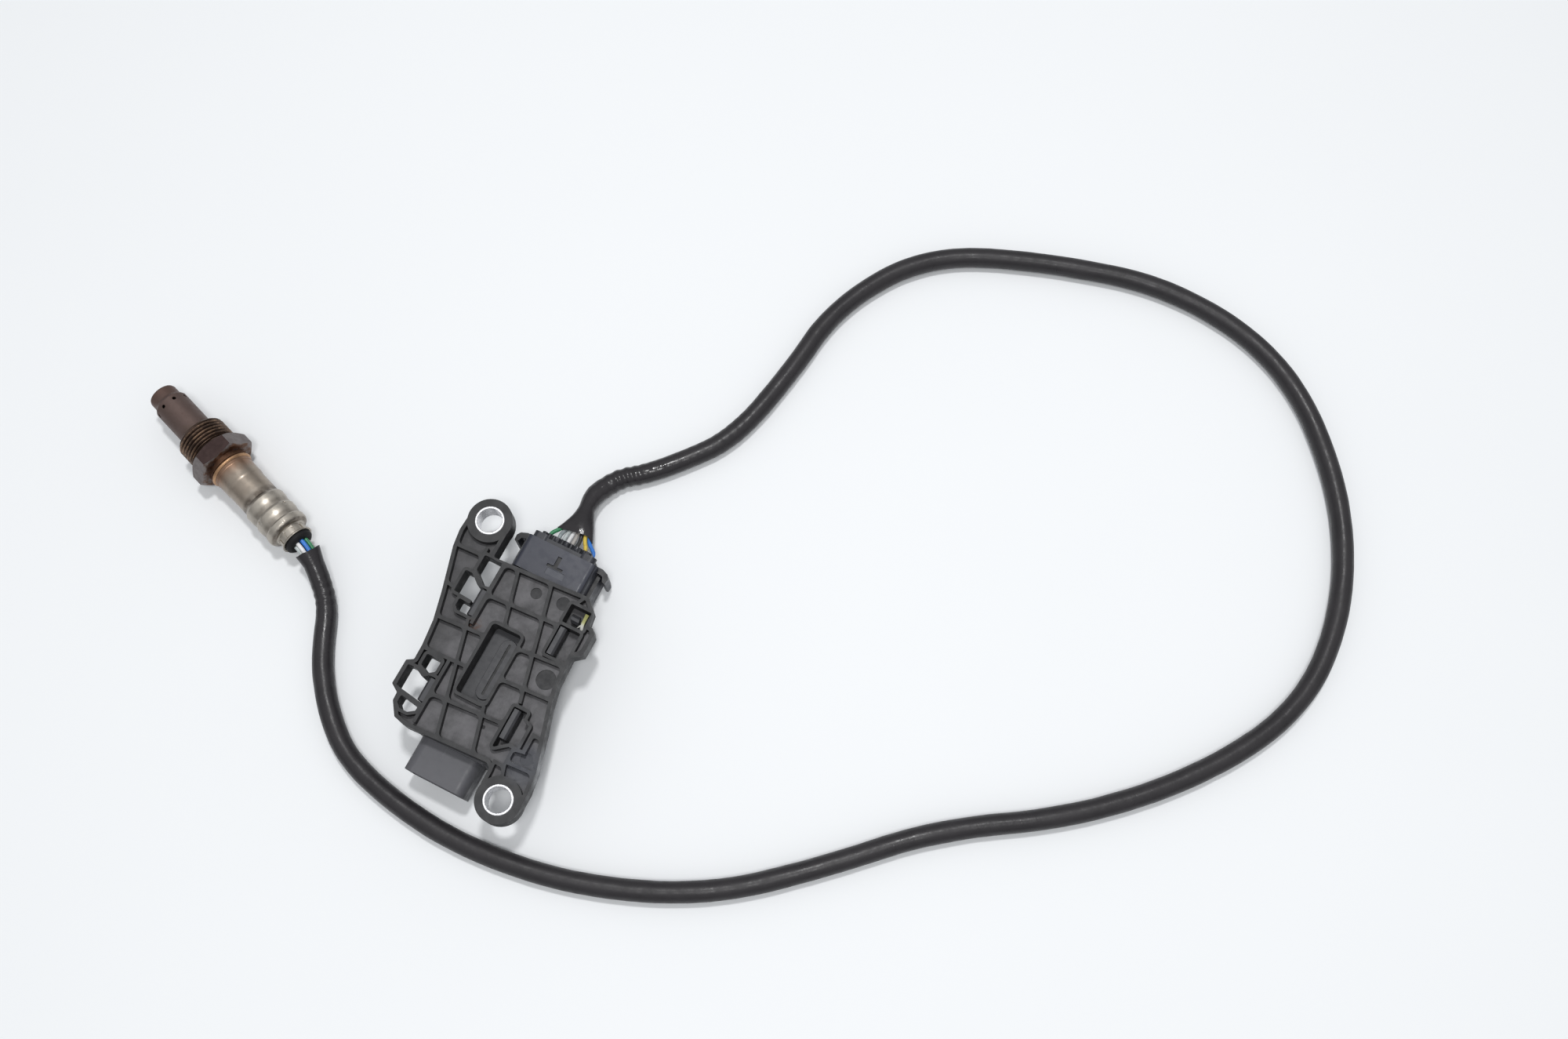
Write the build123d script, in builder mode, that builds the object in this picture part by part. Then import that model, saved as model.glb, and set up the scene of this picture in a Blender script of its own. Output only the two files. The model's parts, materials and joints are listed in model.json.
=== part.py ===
from build123d import *

import os
from math import atan2, cos, degrees, hypot, inf, pi, radians, sin, tan

# Oxygen sensor with its own control unit: a screw-in exhaust probe, a sleeved
# lead and a plastic control unit clipped into a ribbed bracket. Millimetres.
# +Z is up and z = 0 is the surface that the parts lie on. The origin is midway
# between the two mounting bushings, +Y runs from the plug socket to the cable end.

os.makedirs("parts", exist_ok=True)


# ---------------------------------------------------------------- driving sizes

# Mounting bushings and the ears that hold them
bushing_span_x = 54.8
bushing_span_y = 89.4
bushing_diameter = 11.2
bushing_bore = 9.4
bushing_chamfer = 0.4
bushing_stand_proud = 0.2
ear_radius = 8.6

# Control unit housing
unit_x = 0.7
housing_width = 29.6
housing_height = 19.0
housing_front = -36.0
housing_back = 35.0
housing_wall = 1.6
housing_front_wall = 3.0
housing_corner = 2.2
rail_width = 1.4
latch_depth = 3.4
latch_foot = 8.0
latch_rise = 4.6
latch_nose = 0.9
left_latches = [(9.6, 20.4), (-26.2, -17.0)]
right_latches = [(9.8, 21.1), (-25.0, -13.2)]
pad_width = 6.4
pad_length = 24.4
pad_height = 0.9
pad_groove = 1.0
pad_groove_length = 21.0

# Plug socket of the housing and its blades
socket_width = 25.0
socket_height = 15.0
socket_length = 13.5
socket_wall = 1.5
socket_corner = 3.8
socket_bottom = 2.8
blade_count = 5
blade_pitch = 3.6
blade_width = 1.5
blade_thickness = 0.8
blade_setback = 5.2
blade_tail = 6.0

# Circuit board and what is soldered to it
board_thickness = 1.6
board_end_gap = 0.6
board_side_gap = 0.25
controller_size = 12.0
controller_height = 1.5
driver_size = 8.0
driver_height = 1.2
capacitor_diameter = 6.3
capacitor_height = 5.4
solder_gap = 0.05

# Cable cap that closes the housing
cap_overhang = 0.1
cap_rise = 1.0
cap_length = 13.4
cap_wall = 1.8
cap_corner = 2.4
cap_plug_depth = 5.0
cap_flange_inset = 1.7
cap_flange_length = 1.5
cap_wing_reach = 5.0
cap_wing_bottom = 3.0
cap_wing_height = 12.0
cap_skirt_reach = 1.7
cap_skirt_bottom = 1.5
cap_skirt_height = 11.0
cap_lobe_width = 6.6
cap_lobe_height = 4.4
cap_lobe_length = 1.0
comb_length = 2.0
comb_drop = 1.4
comb_pitch = 1.87
comb_slots = 11
ridge_diameter = 2.6
ridge_pitch = 4.35
ridge_count = 4
ridge_shift = 2.25
seal_length = 7.0

# Wires
wire_diameter = 1.6
wire_height = 11.5
wire_pitch_in_flare = 1.72
wire_stagger = 0.15
wire_colours = ["green", "grey", "light_grey", "white", "beige", "black", "yellow", "blue"]
wire_slots = [0, 2, 3, 4, 5, 6, 8, 10]
probe_colours = ["light_grey", "white", "blue", "green", "grey", "black", "yellow", "beige"]
terminal_length = 4.0
terminal_width = 1.2

# Bracket: a ribbed plate clipped over the housing
plate_thickness = 2.6
rib_height = 5.4
rim_width = 1.5
rib_width = 1.3
frame_width = 1.2
slot_left = 7.1
slot_right = 4.9
slot_back = 11.0
slot_front = -17.2
slot_corner = 1.4
window_corner = 0.5
latch_gap = 0.4
brace_width = 1.2
pocket_floor = 1.2
mark_depth = 0.35

# Lead
sleeve_diameter = 8.0
sleeve_wall = 0.7
flare_width = 15.4
flare_height = 4.6
flare_neck = 7.2
mouth_diameter = 9.4
mouth_shift = (-4.6, 3.5, 1.8)
flare_slot_width = 14.0
flare_slot_height = 2.4
wire_insertion = 2.0
exposed_wire = 6.2
wire_bend = 0.6
wire_lead_out = 0.7

# Probe: axial places are measured from the back face of its hexagon to the tip
probe_x = -136.1
probe_y = 21.9
probe_heading = 161.2
hex_across_flats = 22.0
hex_length = 7.0
hex_chamfer = 0.4
hex_back_chamfer = 0.9
hex_front_chamfer = 1.5
thread_diameter = 20.0
thread_length = 10.6
thread_chamfer = 0.9
thread_depth = 0.9
collar_diameter = 16.8
collar_length = 1.9
bead_diameter = 17.4
bead_length = 1.7
bead_crown = 0.5
bead_crest = 0.6
spigot_diameter = 13.6
spigot_length = 9.0
outer_tube_diameter = 13.5
outer_tube_nose_diameter = 11.3
outer_tube_length = 24.2
outer_tube_nose = 4.4
outer_tube_taper = 1.9
nose_rounding = 1.0
outer_tube_wall = 0.5
outer_tube_seat = 2.4
gas_hole_diameter = 1.5
gas_hole_count = 8
gas_hole_setback = 1.8
tip_hole_diameter = 3.0
inner_tube_diameter = 9.4
inner_tube_wall = 0.4
inner_tube_length = 19.0
inner_hole_count = 4
inner_hole_setback = 4.0
element_width = 4.2
element_thickness = 1.4
element_length = 52.0
element_setback = 3.0
ceramic_diameter = 9.4
front_ceramic_length = 5.0
talc_length = 4.0
rear_ceramic_length = 15.0
holder_length = 15.0
holder_gap = 1.0
contact_width = 0.7
contact_thickness = 0.3
contact_fan = 2.5
crimp_length = 4.0
crimp_wall = 0.12
wire_ring_radius = 2.6
sleeve_roll_diameter = 16.2
sleeve_front_diameter = 15.7
sleeve_main_diameter = 15.2
sleeve_rear_diameter = 16.9
sleeve_waist = 0.4
sleeve_length = 35.5
sleeve_roll_length = 1.1
sleeve_front_length = 7.4
sleeve_step = 1.4
sleeve_rear_length = 17.2
sleeve_waves = (14.7, 10.9, 8.2, 4.7, 2.4)
sleeve_crest = 0.8
sleeve_metal = 0.6
neck_diameter = 11.5
neck_length = 4.2
neck_folds = 10
fold_depth = 0.3
fold_width = 0.7
lip_diameter = 12.8
lip_length = 0.5
grommet_flange = 11.2
grommet_flange_length = 1.2
grommet_nose = 8.4
grommet_depth = 6.0
grommet_stand_out = 2.3
dimple_count = 4
dimple_diameter = 1.2
dimple_depth = 0.2
dimple_place = 8.8

# Clearance between pieces that fit into each other
fit_gap = 0.1


# ------------------------------------------------------------- derived places

ear_x = bushing_span_x / 2
ear_y = bushing_span_y / 2
plate_bottom = housing_height
plate_top = plate_bottom + plate_thickness
housing_left = unit_x - housing_width / 2
housing_right = unit_x + housing_width / 2
cap_width = housing_width + 2 * cap_overhang
cap_height = housing_height + cap_rise
cap_flange_width = cap_width - 2 * cap_flange_inset
comb_height = cap_height - comb_drop
socket_z = socket_bottom + socket_height / 2
board_bottom = socket_z - blade_thickness / 2 - board_thickness - solder_gap
board_top = board_bottom + board_thickness
cap_back = housing_back + fit_gap + cap_length
comb_back = cap_back + cap_flange_length + comb_length
wire_hole = wire_diameter + fit_gap / 2


# ------------------------------------------------------------ sketch helpers

def polygon(points, corner=0.0):
    """A closed straight-sided face, its corners rounded when corner is given."""
    with BuildSketch(mode=Mode.PRIVATE) as shape:
        with BuildLine():
            Polyline(*points, close=True)
        make_face()
        if corner:
            fillet(shape.vertices(), corner)
    return shape.sketch


def strokes(lines, width):
    """Straight bars of one width, each along a line between two points."""
    with BuildSketch(mode=Mode.PRIVATE) as shape:
        for (x1, y1), (x2, y2) in lines:
            with Locations(((x1 + x2) / 2, (y1 + y2) / 2)):
                length = hypot(x2 - x1, y2 - y1) + width
                Rectangle(length, width, rotation=degrees(atan2(y2 - y1, x2 - x1)))
    return shape.sketch


def write(builder, name):
    """Label a finished sub-part and write its STEP file."""
    builder.part.label = name
    export_step(builder.part, f"parts/{name}.step")


# ------------------------------------------------------------------- bushings

def bushing(x, y):
    with BuildPart() as sleeve:
        with BuildSketch(Plane.XY.offset(plate_bottom)):
            with Locations((x, y)):
                Circle(bushing_diameter / 2)
                Circle(bushing_bore / 2, mode=Mode.SUBTRACT)
        extrude(amount=plate_thickness + rib_height + bushing_stand_proud)
        chamfer(sleeve.edges().filter_by(GeomType.CIRCLE), bushing_chamfer)
    return sleeve


bushing_upper = bushing(-ear_x, ear_y)
write(bushing_upper, "bushing_upper")
bushing_lower = bushing(ear_x, -ear_y)
write(bushing_lower, "bushing_lower")


# -------------------------------------------------------------------- bracket

# The plate reaches past the housing on both sides and carries an ear on an arm
# at two opposite corners.
left_edge = housing_left - 11.6
right_edge = housing_right + 10.6
back_edge = housing_back - 0.9
front_edge = housing_front + 0.2
arm_half = ear_radius - 0.2

outline_points = [
    (-ear_x - ear_radius + 0.6, ear_y),
    (-ear_x - ear_radius + 0.2, back_edge + 2.6),
    (-ear_x - ear_radius + 1.2, back_edge - 4.0),
    (left_edge - 4.0, 13.0),
    (left_edge - 1.2, 2.0),
    (left_edge, -8.0),
    (left_edge + 0.1, -13.9),
    (left_edge - 2.4, -15.4),
    (left_edge - 2.5, -25.2),
    (left_edge + 0.8, -27.3),
    (left_edge + 1.0, -30.5),
    (left_edge + 4.6, front_edge + 0.4),
    (left_edge + 9.2, front_edge - 0.8),
    (ear_x - 10.4, front_edge + 0.9),
    (ear_x - 8.6, front_edge - 0.4),
    (ear_x - arm_half, -ear_y),
    (ear_x + arm_half, -ear_y),
    (ear_x + arm_half, front_edge - 2.0),
    (right_edge + 8.6, -30.0),
    (right_edge + 6.8, -24.0),
    (right_edge + 4.3, -15.0),
    (right_edge + 1.8, -7.0),
    (right_edge, 1.0),
    (right_edge - 0.5, 12.5),
    (right_edge + 2.8, 15.2),
    (right_edge + 2.9, 23.4),
    (right_edge + 1.4, 25.3),
    (right_edge - 0.8, 25.6),
    (right_edge - 1.6, back_edge - 3.0),
    (right_edge - 5.4, back_edge + 0.8),
    (right_edge - 8.4, back_edge + 0.9),
    (-ear_x + arm_half, back_edge - 1.2),
    (-ear_x + arm_half, ear_y),
]

with BuildSketch() as outline:
    add(polygon(outline_points, 0.7))
    with Locations((-ear_x, ear_y), (ear_x, -ear_y)):
        Circle(ear_radius)

# Openings on the left: two groups through which the housing's latches reach, each
# cut by slanting braces. Their edges keep clear of the latches and of the rims.
post_left = housing_left - latch_depth
beside_wall = housing_left - frame_width / 2
(upper_from, upper_to), (lower_from, lower_to) = left_latches
left_windows = [
    polygon([(left_edge + 3.5, back_edge - 1.9), (beside_wall, back_edge - 1.9),
             (beside_wall, upper_to + latch_gap + brace_width),
             (housing_left - 2.9, upper_to + latch_gap + 0.9),
             (left_edge + 3.5, back_edge - 8.2)], window_corner),
    polygon([(left_edge - 0.1, upper_to + 3.6), (left_edge + 2.8, upper_to + 3.6),
             (housing_left - 4.9, upper_to + latch_gap), (beside_wall, upper_to + latch_gap),
             (beside_wall, upper_from - latch_gap), (left_edge + 4.7, upper_from - latch_gap),
             (left_edge + 3.3, upper_from + 1.0), (left_edge + 3.3, upper_from + 3.9),
             (post_left - latch_gap, upper_from + 3.6), (post_left - latch_gap, upper_from + 5.1),
             (left_edge - 0.1, upper_from + 5.6)], window_corner),
    polygon([(left_edge + 3.4, lower_to + 7.0), (housing_left - 2.1, lower_to + 7.0),
             (housing_left - 2.1, lower_to + 2.4), (housing_left - 4.3, lower_to + 0.8),
             (left_edge + 3.4, lower_to + 2.6)], window_corner),
    polygon([(left_edge - 0.9, lower_to + 0.6), (left_edge + 2.3, lower_to + 0.6),
             (housing_left - 5.5, lower_to - 1.3), (housing_left - 3.3, lower_to + latch_gap),
             (beside_wall, lower_to + latch_gap), (beside_wall, lower_from - 0.6),
             (left_edge - 0.9, lower_from + 1.2)], window_corner),
    polygon([(left_edge + 2.7, lower_from - 1.2), (housing_left - 1.3, lower_from - 2.5),
             (housing_left - 1.3, lower_from - 4.0), (housing_left - 3.8, lower_from - 5.7),
             (left_edge + 4.5, lower_from - 5.7), (left_edge + 2.7, lower_from - 4.0)],
            window_corner),
]

# Clip pockets on the right, blind except where the latches rise through them
clip_left = housing_right + latch_gap
clip_right = right_edge - 1.7
(rear_from, rear_to), (front_from, front_to) = right_latches
clip_pockets = [
    polygon([(clip_left, back_edge - 3.9), (clip_right, back_edge - 3.9),
             (clip_right, rear_to + latch_gap + brace_width),
             (clip_left, rear_to + latch_gap + brace_width)], window_corner),
    polygon([(clip_left, rear_to + latch_gap), (clip_right, rear_to + latch_gap),
             (clip_right, rear_from - latch_gap), (clip_left, rear_from - latch_gap)],
            window_corner),
    polygon([(clip_left, front_to + latch_gap), (housing_right + 5.9, front_to + latch_gap),
             (housing_right + 5.9, front_to - 2.7), (housing_right + 8.7, front_to - 3.6),
             (housing_right + 8.7, front_from - latch_gap),
             (housing_right + 5.3, front_from - latch_gap), (housing_right + 2.1, front_from - 3.0),
             (clip_left, front_from - 4.4)], window_corner),
]
latch_holes = [
    polygon([(clip_left, y_from - latch_gap), (clip_left + latch_depth, y_from - latch_gap),
             (clip_left + latch_depth, y_to + latch_gap), (clip_left, y_to + latch_gap)],
            window_corner)
    for y_from, y_to in right_latches
]
slot_window = polygon([(unit_x - slot_left, slot_front), (unit_x + slot_right, slot_front),
                       (unit_x + slot_right, slot_back), (unit_x - slot_left, slot_back)],
                      slot_corner)

# Ribs on the plate: slanting lengthwise ribs, cross ribs, and short webs.
cross_ribs = [
    ((housing_left, 19.1), (15.4, 20.7)),
    ((left_edge - 1.4, 3.9), (unit_x - slot_left, 5.3)),
    ((unit_x + slot_right, 6.2), (12.6, 6.9)),
    ((12.6, 6.9), (right_edge - 0.4, 7.9)),
    ((left_edge + 0.2, -8.5), (unit_x - slot_left, -7.8)),
    ((unit_x + slot_right, -6.4), (right_edge + 1.6, -5.0)),
    ((housing_left, -22.3), (15.4, -20.2)),
    ((left_edge - 5.0, 17.0), (-26.4, 16.2)),
    ((-33.0, 31.2), (-23.0, 31.6)),
    ((23.4, -31.7), (34.6, -31.0)),
    ((27.2, -18.9), (31.8, -19.2)),
    ((23.2, -26.6), (27.2, -25.8)),
    ((19.4, -33.4), (23.2, -33.6)),
]
long_ribs = [
    ((-8.4, 33.4), (-2.3, 11.6)),
    ((5.4, 34.2), (16.9, -10.4)),
    ((-15.4, 7.4), (-4.1, -34.2)),
    ((6.1, -18.2), (10.5, -33.4)),
    ((housing_left + 0.4, 33.0), (housing_left + 0.4, 7.6)),
    ((housing_left + 0.2, -9.0), (housing_left + 0.2, -33.4)),
    ((-22.9, 34.4), (-22.9, 26.0)),
    ((27.2, -18.9), (27.2, -25.8)),
    ((23.2, -26.6), (23.2, -33.0)),
    ((23.2, -33.0), (24.4, -36.6)),
    ((19.4, -33.4), (19.6, -38.2)),
    ((17.6, 31.2), (19.4, 34.6)),
]

with BuildSketch() as inner_outline:
    add(outline.sketch)
    offset(amount=-rim_width, kind=Kind.INTERSECTION, mode=Mode.REPLACE)

with BuildSketch() as rib_layer:
    add(outline.sketch)
    add(inner_outline.sketch, mode=Mode.SUBTRACT)
    add(strokes(cross_ribs + long_ribs, rib_width))
    for window in left_windows + clip_pockets + [slot_window]:
        with BuildSketch(mode=Mode.PRIVATE) as frame_ring:
            add(window)
            offset(amount=frame_width, mode=Mode.REPLACE)
        add(frame_ring.sketch)
    with Locations((-ear_x, ear_y), (ear_x, -ear_y)):
        Circle(ear_radius)
    add(outline.sketch, mode=Mode.INTERSECT)

# Round ejector marks: x, y and radius
marks = [(1.4, 28.2, 2.2), (12.4, 29.2, 2.6), (20.7, 1.2, 3.8), (8.9, -24.2, 0.7),
         (28.7, -27.5, 2.4)]

with BuildPart() as bracket:
    with BuildSketch(Plane.XY.offset(plate_bottom)):
        add(outline.sketch)
    extrude(amount=plate_thickness)
    with BuildSketch(Plane.XY.offset(plate_top)):
        add(rib_layer.sketch)
    extrude(amount=rib_height)
    with BuildSketch(Plane.XY.offset(plate_bottom)):
        for window in left_windows + latch_holes + [slot_window]:
            add(window)
        with Locations((-ear_x, ear_y), (ear_x, -ear_y)):
            Circle(bushing_diameter / 2)
    extrude(amount=plate_thickness + rib_height, mode=Mode.SUBTRACT)
    with BuildSketch(Plane.XY.offset(plate_bottom + pocket_floor)):
        for pocket in clip_pockets:
            add(pocket)
    extrude(amount=plate_thickness + rib_height, mode=Mode.SUBTRACT)
    with BuildSketch(Plane.XY.offset(plate_top)):
        for x, y, radius in marks:
            with Locations((x, y)):
                Circle(radius)
    extrude(amount=-mark_depth, mode=Mode.SUBTRACT)
write(bracket, "bracket")


# -------------------------------------------------------------------- housing

def latch(side, y_from, y_to):
    """A latch post on the housing's side wall with a nose at its top."""
    wall_x = housing_left if side < 0 else housing_right
    top = plate_top + latch_rise
    with BuildPart() as post:
        with BuildSketch(Plane.XZ.offset(-y_from)):
            with BuildLine():
                Polyline(
                    (wall_x - side * housing_wall / 2, latch_foot - latch_depth),
                    (wall_x, latch_foot - latch_depth),
                    (wall_x + side * latch_depth, latch_foot),
                    (wall_x + side * latch_depth, top - latch_nose),
                    (wall_x + side * (latch_depth - latch_nose), top),
                    (wall_x + side * (fit_gap + 0.6), top),
                    (wall_x + side * (fit_gap + 0.6), housing_height - fit_gap),
                    (wall_x - side * housing_wall / 2, housing_height - fit_gap),
                    close=True,
                )
            make_face()
        extrude(amount=-(y_to - y_from))
    return post.part


with BuildPart() as unit_housing:
    with BuildSketch(Plane.XZ.offset(-housing_front)):
        with Locations((unit_x, housing_height / 2)):
            RectangleRounded(housing_width, housing_height, housing_corner)
    extrude(amount=-(housing_back - housing_front))
    with BuildSketch(Plane.XZ.offset(-housing_front)):
        with Locations((unit_x, socket_z)):
            RectangleRounded(socket_width, socket_height, socket_corner)
    extrude(amount=socket_length)
    with BuildSketch(Plane.XZ.offset(-(housing_front + housing_front_wall))):
        with Locations((unit_x, housing_height / 2)):
            RectangleRounded(housing_width - 2 * housing_wall,
                             housing_height - 2 * housing_wall, housing_corner - 1)
    extrude(amount=-(housing_back - housing_front), mode=Mode.SUBTRACT)
    with BuildSketch(Plane.XZ.offset(-housing_front)):
        with Locations((unit_x, socket_z)):
            RectangleRounded(socket_width - 2 * socket_wall, socket_height - 2 * socket_wall,
                             socket_corner - socket_wall)
    extrude(amount=socket_length, mode=Mode.SUBTRACT)
    with BuildSketch(Plane.XZ.offset(-housing_front)):
        with Locations((unit_x, socket_z)):
            with GridLocations(blade_pitch, 1, blade_count, 1):
                Rectangle(blade_width, blade_thickness)
    extrude(amount=-housing_front_wall, mode=Mode.SUBTRACT)
    # Side rails that carry the circuit board
    with BuildSketch(Plane.XY.offset(housing_wall)):
        for side in (-1, 1):
            rail_x = unit_x + side * (housing_width / 2 - housing_wall - rail_width / 2)
            rail_from = housing_front + housing_front_wall
            rail_to = housing_back - cap_plug_depth - fit_gap
            with Locations((rail_x, (rail_from + rail_to) / 2)):
                Rectangle(rail_width, rail_to - rail_from)
    extrude(amount=board_bottom - fit_gap - housing_wall)
    # Raised pad with a groove, seen through the bracket's slot
    pad_y = slot_front + pad_length / 2 + 1.8
    with BuildSketch(Plane.XY.offset(housing_height)):
        with Locations((unit_x + 0.7, pad_y)):
            SlotOverall(pad_length, pad_width, rotation=90)
    extrude(amount=pad_height)
    with BuildSketch(Plane.XY.offset(housing_height + pad_height)):
        with Locations((unit_x + 0.7, pad_y)):
            SlotOverall(pad_groove_length, pad_groove, rotation=90)
    extrude(amount=-pad_height / 2, mode=Mode.SUBTRACT)
    for y_from, y_to in left_latches:
        add(latch(-1, y_from, y_to))
    for y_from, y_to in right_latches:
        add(latch(1, y_from, y_to))
write(unit_housing, "unit_housing")


# --------------------------------------------------------------- socket blades

with BuildPart() as socket_blades:
    with BuildSketch(Plane.XZ.offset(-(housing_front - socket_length + blade_setback))):
        with Locations((unit_x, socket_z)):
            with GridLocations(blade_pitch, 1, blade_count, 1):
                Rectangle(blade_width - fit_gap, blade_thickness - fit_gap)
    blade_length = socket_length - blade_setback + housing_front_wall + blade_tail
    extrude(amount=-blade_length)
write(socket_blades, "socket_blades")


# --------------------------------------------------- circuit board and its parts

board_front = housing_front + housing_front_wall + board_end_gap
board_back = housing_back - cap_plug_depth - 2 * fit_gap
board_half = housing_width / 2 - housing_wall - board_side_gap

with BuildPart() as circuit_board:
    with BuildSketch(Plane.XY.offset(board_bottom)):
        with Locations((unit_x, (board_front + board_back) / 2)):
            RectangleRounded(2 * board_half, board_back - board_front, 1.0)
    extrude(amount=board_thickness)
write(circuit_board, "circuit_board")

with BuildPart() as controller_chip:
    with BuildSketch(Plane.XY.offset(board_top + solder_gap)):
        with Locations((unit_x - 3.0, -4.0)):
            Rectangle(controller_size, controller_size)
    extrude(amount=controller_height)
    chamfer(controller_chip.faces().sort_by(Axis.Z)[-1].edges(), 0.3)
write(controller_chip, "controller_chip")

with BuildPart() as heater_driver:
    with BuildSketch(Plane.XY.offset(board_top + solder_gap)):
        with Locations((unit_x + 5.5, 12.0)):
            Rectangle(driver_size, driver_size)
    extrude(amount=driver_height)
    chamfer(heater_driver.faces().sort_by(Axis.Z)[-1].edges(), 0.3)
write(heater_driver, "heater_driver")

with BuildPart() as capacitors:
    with BuildSketch(Plane.XY.offset(board_top + solder_gap)):
        with Locations((unit_x - 7.5, 13.0), (unit_x + 8.0, -12.0)):
            Circle(capacitor_diameter / 2)
    extrude(amount=capacitor_height)
    chamfer(capacitors.faces().group_by(Axis.Z)[-1].edges(), 0.5)
write(capacitors, "capacitors")


# ------------------------------------------------------------------- cable cap

def comb_place(index):
    """The across place of one outlet of the comb."""
    return unit_x + 0.2 + (index - (comb_slots - 1) / 2) * comb_pitch


cap_front = housing_back + fit_gap
plug_width = housing_width - 2 * (housing_wall + fit_gap)
plug_height = housing_height - 2 * (housing_wall + fit_gap)
seal_width = cap_flange_width - 4.0
seal_height = 9.0
seal_front = cap_back - seal_length

with BuildPart() as cable_cap:
    with BuildSketch(Plane.XZ.offset(-cap_front)):
        with Locations((unit_x, cap_height / 2)):
            RectangleRounded(cap_width, cap_height, cap_corner)
    extrude(amount=-cap_length)
    with BuildSketch(Plane.XZ.offset(-cap_front)):
        with Locations((unit_x, housing_height / 2)):
            RectangleRounded(plug_width, plug_height, housing_corner - 1)
    extrude(amount=cap_plug_depth)
    # End flange with rounded lobes
    with BuildSketch(Plane.XZ.offset(-cap_back)):
        with Locations((unit_x, cap_height / 2)):
            RectangleRounded(cap_flange_width, cap_height - 1.2, 4.0)
    extrude(amount=-cap_flange_length)
    with BuildSketch(Plane.XZ.offset(-cap_back)):
        lobe_x = (cap_flange_width - cap_lobe_width) / 2
        with Locations(*[(unit_x + side * lobe_x, cap_height - cap_lobe_height / 2 - 0.2)
                         for side in (-1, 1)]):
            RectangleRounded(cap_lobe_width, cap_lobe_height, 2.0)
    extrude(amount=-(cap_flange_length + cap_lobe_length))
    # Hooked wings at the back corners and a skirt low along each side
    with BuildSketch(Plane.XY.offset(cap_wing_bottom)):
        for side in (-1, 1):
            wall_x = unit_x + side * cap_width / 2
            tip_x = wall_x + side * cap_wing_reach
            add(polygon([(wall_x - side, cap_back - 1.6), (wall_x + side * 0.6, cap_back - 1.4),
                         (tip_x - side * 2.4, cap_back - 1.8), (tip_x - side * 1.5, cap_back - 3.8),
                         (tip_x - side * 0.2, cap_back - 4.0), (tip_x, cap_back - 1.6),
                         (tip_x - side * 1.0, cap_back - 0.2), (wall_x + side * 1.5, cap_back + 0.8),
                         (wall_x - side * 2.0, cap_back + 0.8)], 0.4))
    extrude(amount=cap_wing_height)
    with BuildSketch(Plane.XY.offset(cap_skirt_bottom)):
        with Locations((unit_x, cap_front + cap_length / 2)):
            RectangleRounded(cap_width + 2 * cap_skirt_reach, cap_length - 2.0, 1.5)
    extrude(amount=cap_skirt_height)
    # Small stop tabs at the front corners
    with BuildSketch(Plane.XY.offset(cap_wing_bottom)):
        for side in (-1, 1):
            with Locations((unit_x + side * cap_width / 2, cap_front + 1.2)):
                Rectangle(1.6, 1.8)
    extrude(amount=cap_wing_height)
    # Comb of wire outlets
    with BuildSketch(Plane.XZ.offset(-(cap_back + cap_flange_length))):
        with Locations((unit_x + 0.2, comb_height / 2 + 0.6)):
            Rectangle(comb_slots * comb_pitch + 0.6, comb_height - 1.2)
        with Locations(*[(comb_place(i), comb_height) for i in range(comb_slots)]):
            Circle(comb_pitch * 0.4)
        with Locations(*[(unit_x + ridge_shift + (i - (ridge_count - 1) / 2) * ridge_pitch,
                          comb_height - 0.4) for i in range(ridge_count)]):
            Circle(ridge_diameter / 2)
    extrude(amount=-comb_length)
    # Inside: the board space, then the seal's chamber
    with BuildSketch(Plane.XZ.offset(-(cap_front - cap_plug_depth))):
        with Locations((unit_x, housing_height / 2)):
            RectangleRounded(plug_width - 2 * cap_wall, plug_height - 2 * cap_wall, 1.0)
    extrude(amount=-(cap_plug_depth + cap_length - seal_length), mode=Mode.SUBTRACT)
    with BuildSketch(Plane.XZ.offset(-seal_front)):
        with Locations((unit_x, wire_height)):
            RectangleRounded(seal_width, seal_height, 2.0)
    extrude(amount=-seal_length, mode=Mode.SUBTRACT)
    with BuildSketch(Plane.XZ.offset(-cap_back)):
        with Locations(*[(comb_place(slot), wire_height) for slot in wire_slots]):
            Circle(wire_hole / 2)
    extrude(amount=-(cap_flange_length + comb_length), mode=Mode.SUBTRACT)
    # Assembly mark recessed in the top: a stem on a bar, above a latch pad
    with BuildSketch(Plane.XY.offset(cap_height)):
        with Locations((unit_x + 0.9, cap_front + 8.1)):
            Rectangle(1.7, 4.2)
        with Locations((unit_x + 0.9, cap_front + 5.6)):
            Rectangle(6.6, 1.1)
    extrude(amount=-0.7, mode=Mode.SUBTRACT)
    with BuildSketch(Plane.XY.offset(cap_height)):
        with Locations((unit_x + 2.1, cap_front + 3.5)):
            Rectangle(7.6, 2.6)
    extrude(amount=-0.25, mode=Mode.SUBTRACT)
write(cable_cap, "cable_cap")

with BuildPart() as wire_seal:
    with BuildSketch(Plane.XZ.offset(-(seal_front + fit_gap))):
        with Locations((unit_x, wire_height)):
            RectangleRounded(seal_width - 2 * fit_gap, seal_height - 2 * fit_gap, 2.0)
        with Locations(*[(comb_place(slot), wire_height) for slot in wire_slots]):
            Circle(wire_hole / 2, mode=Mode.SUBTRACT)
    extrude(amount=-(seal_length - 2 * fit_gap))
write(wire_seal, "wire_seal")


# ------------------------------------------------------------------------ lead

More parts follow.
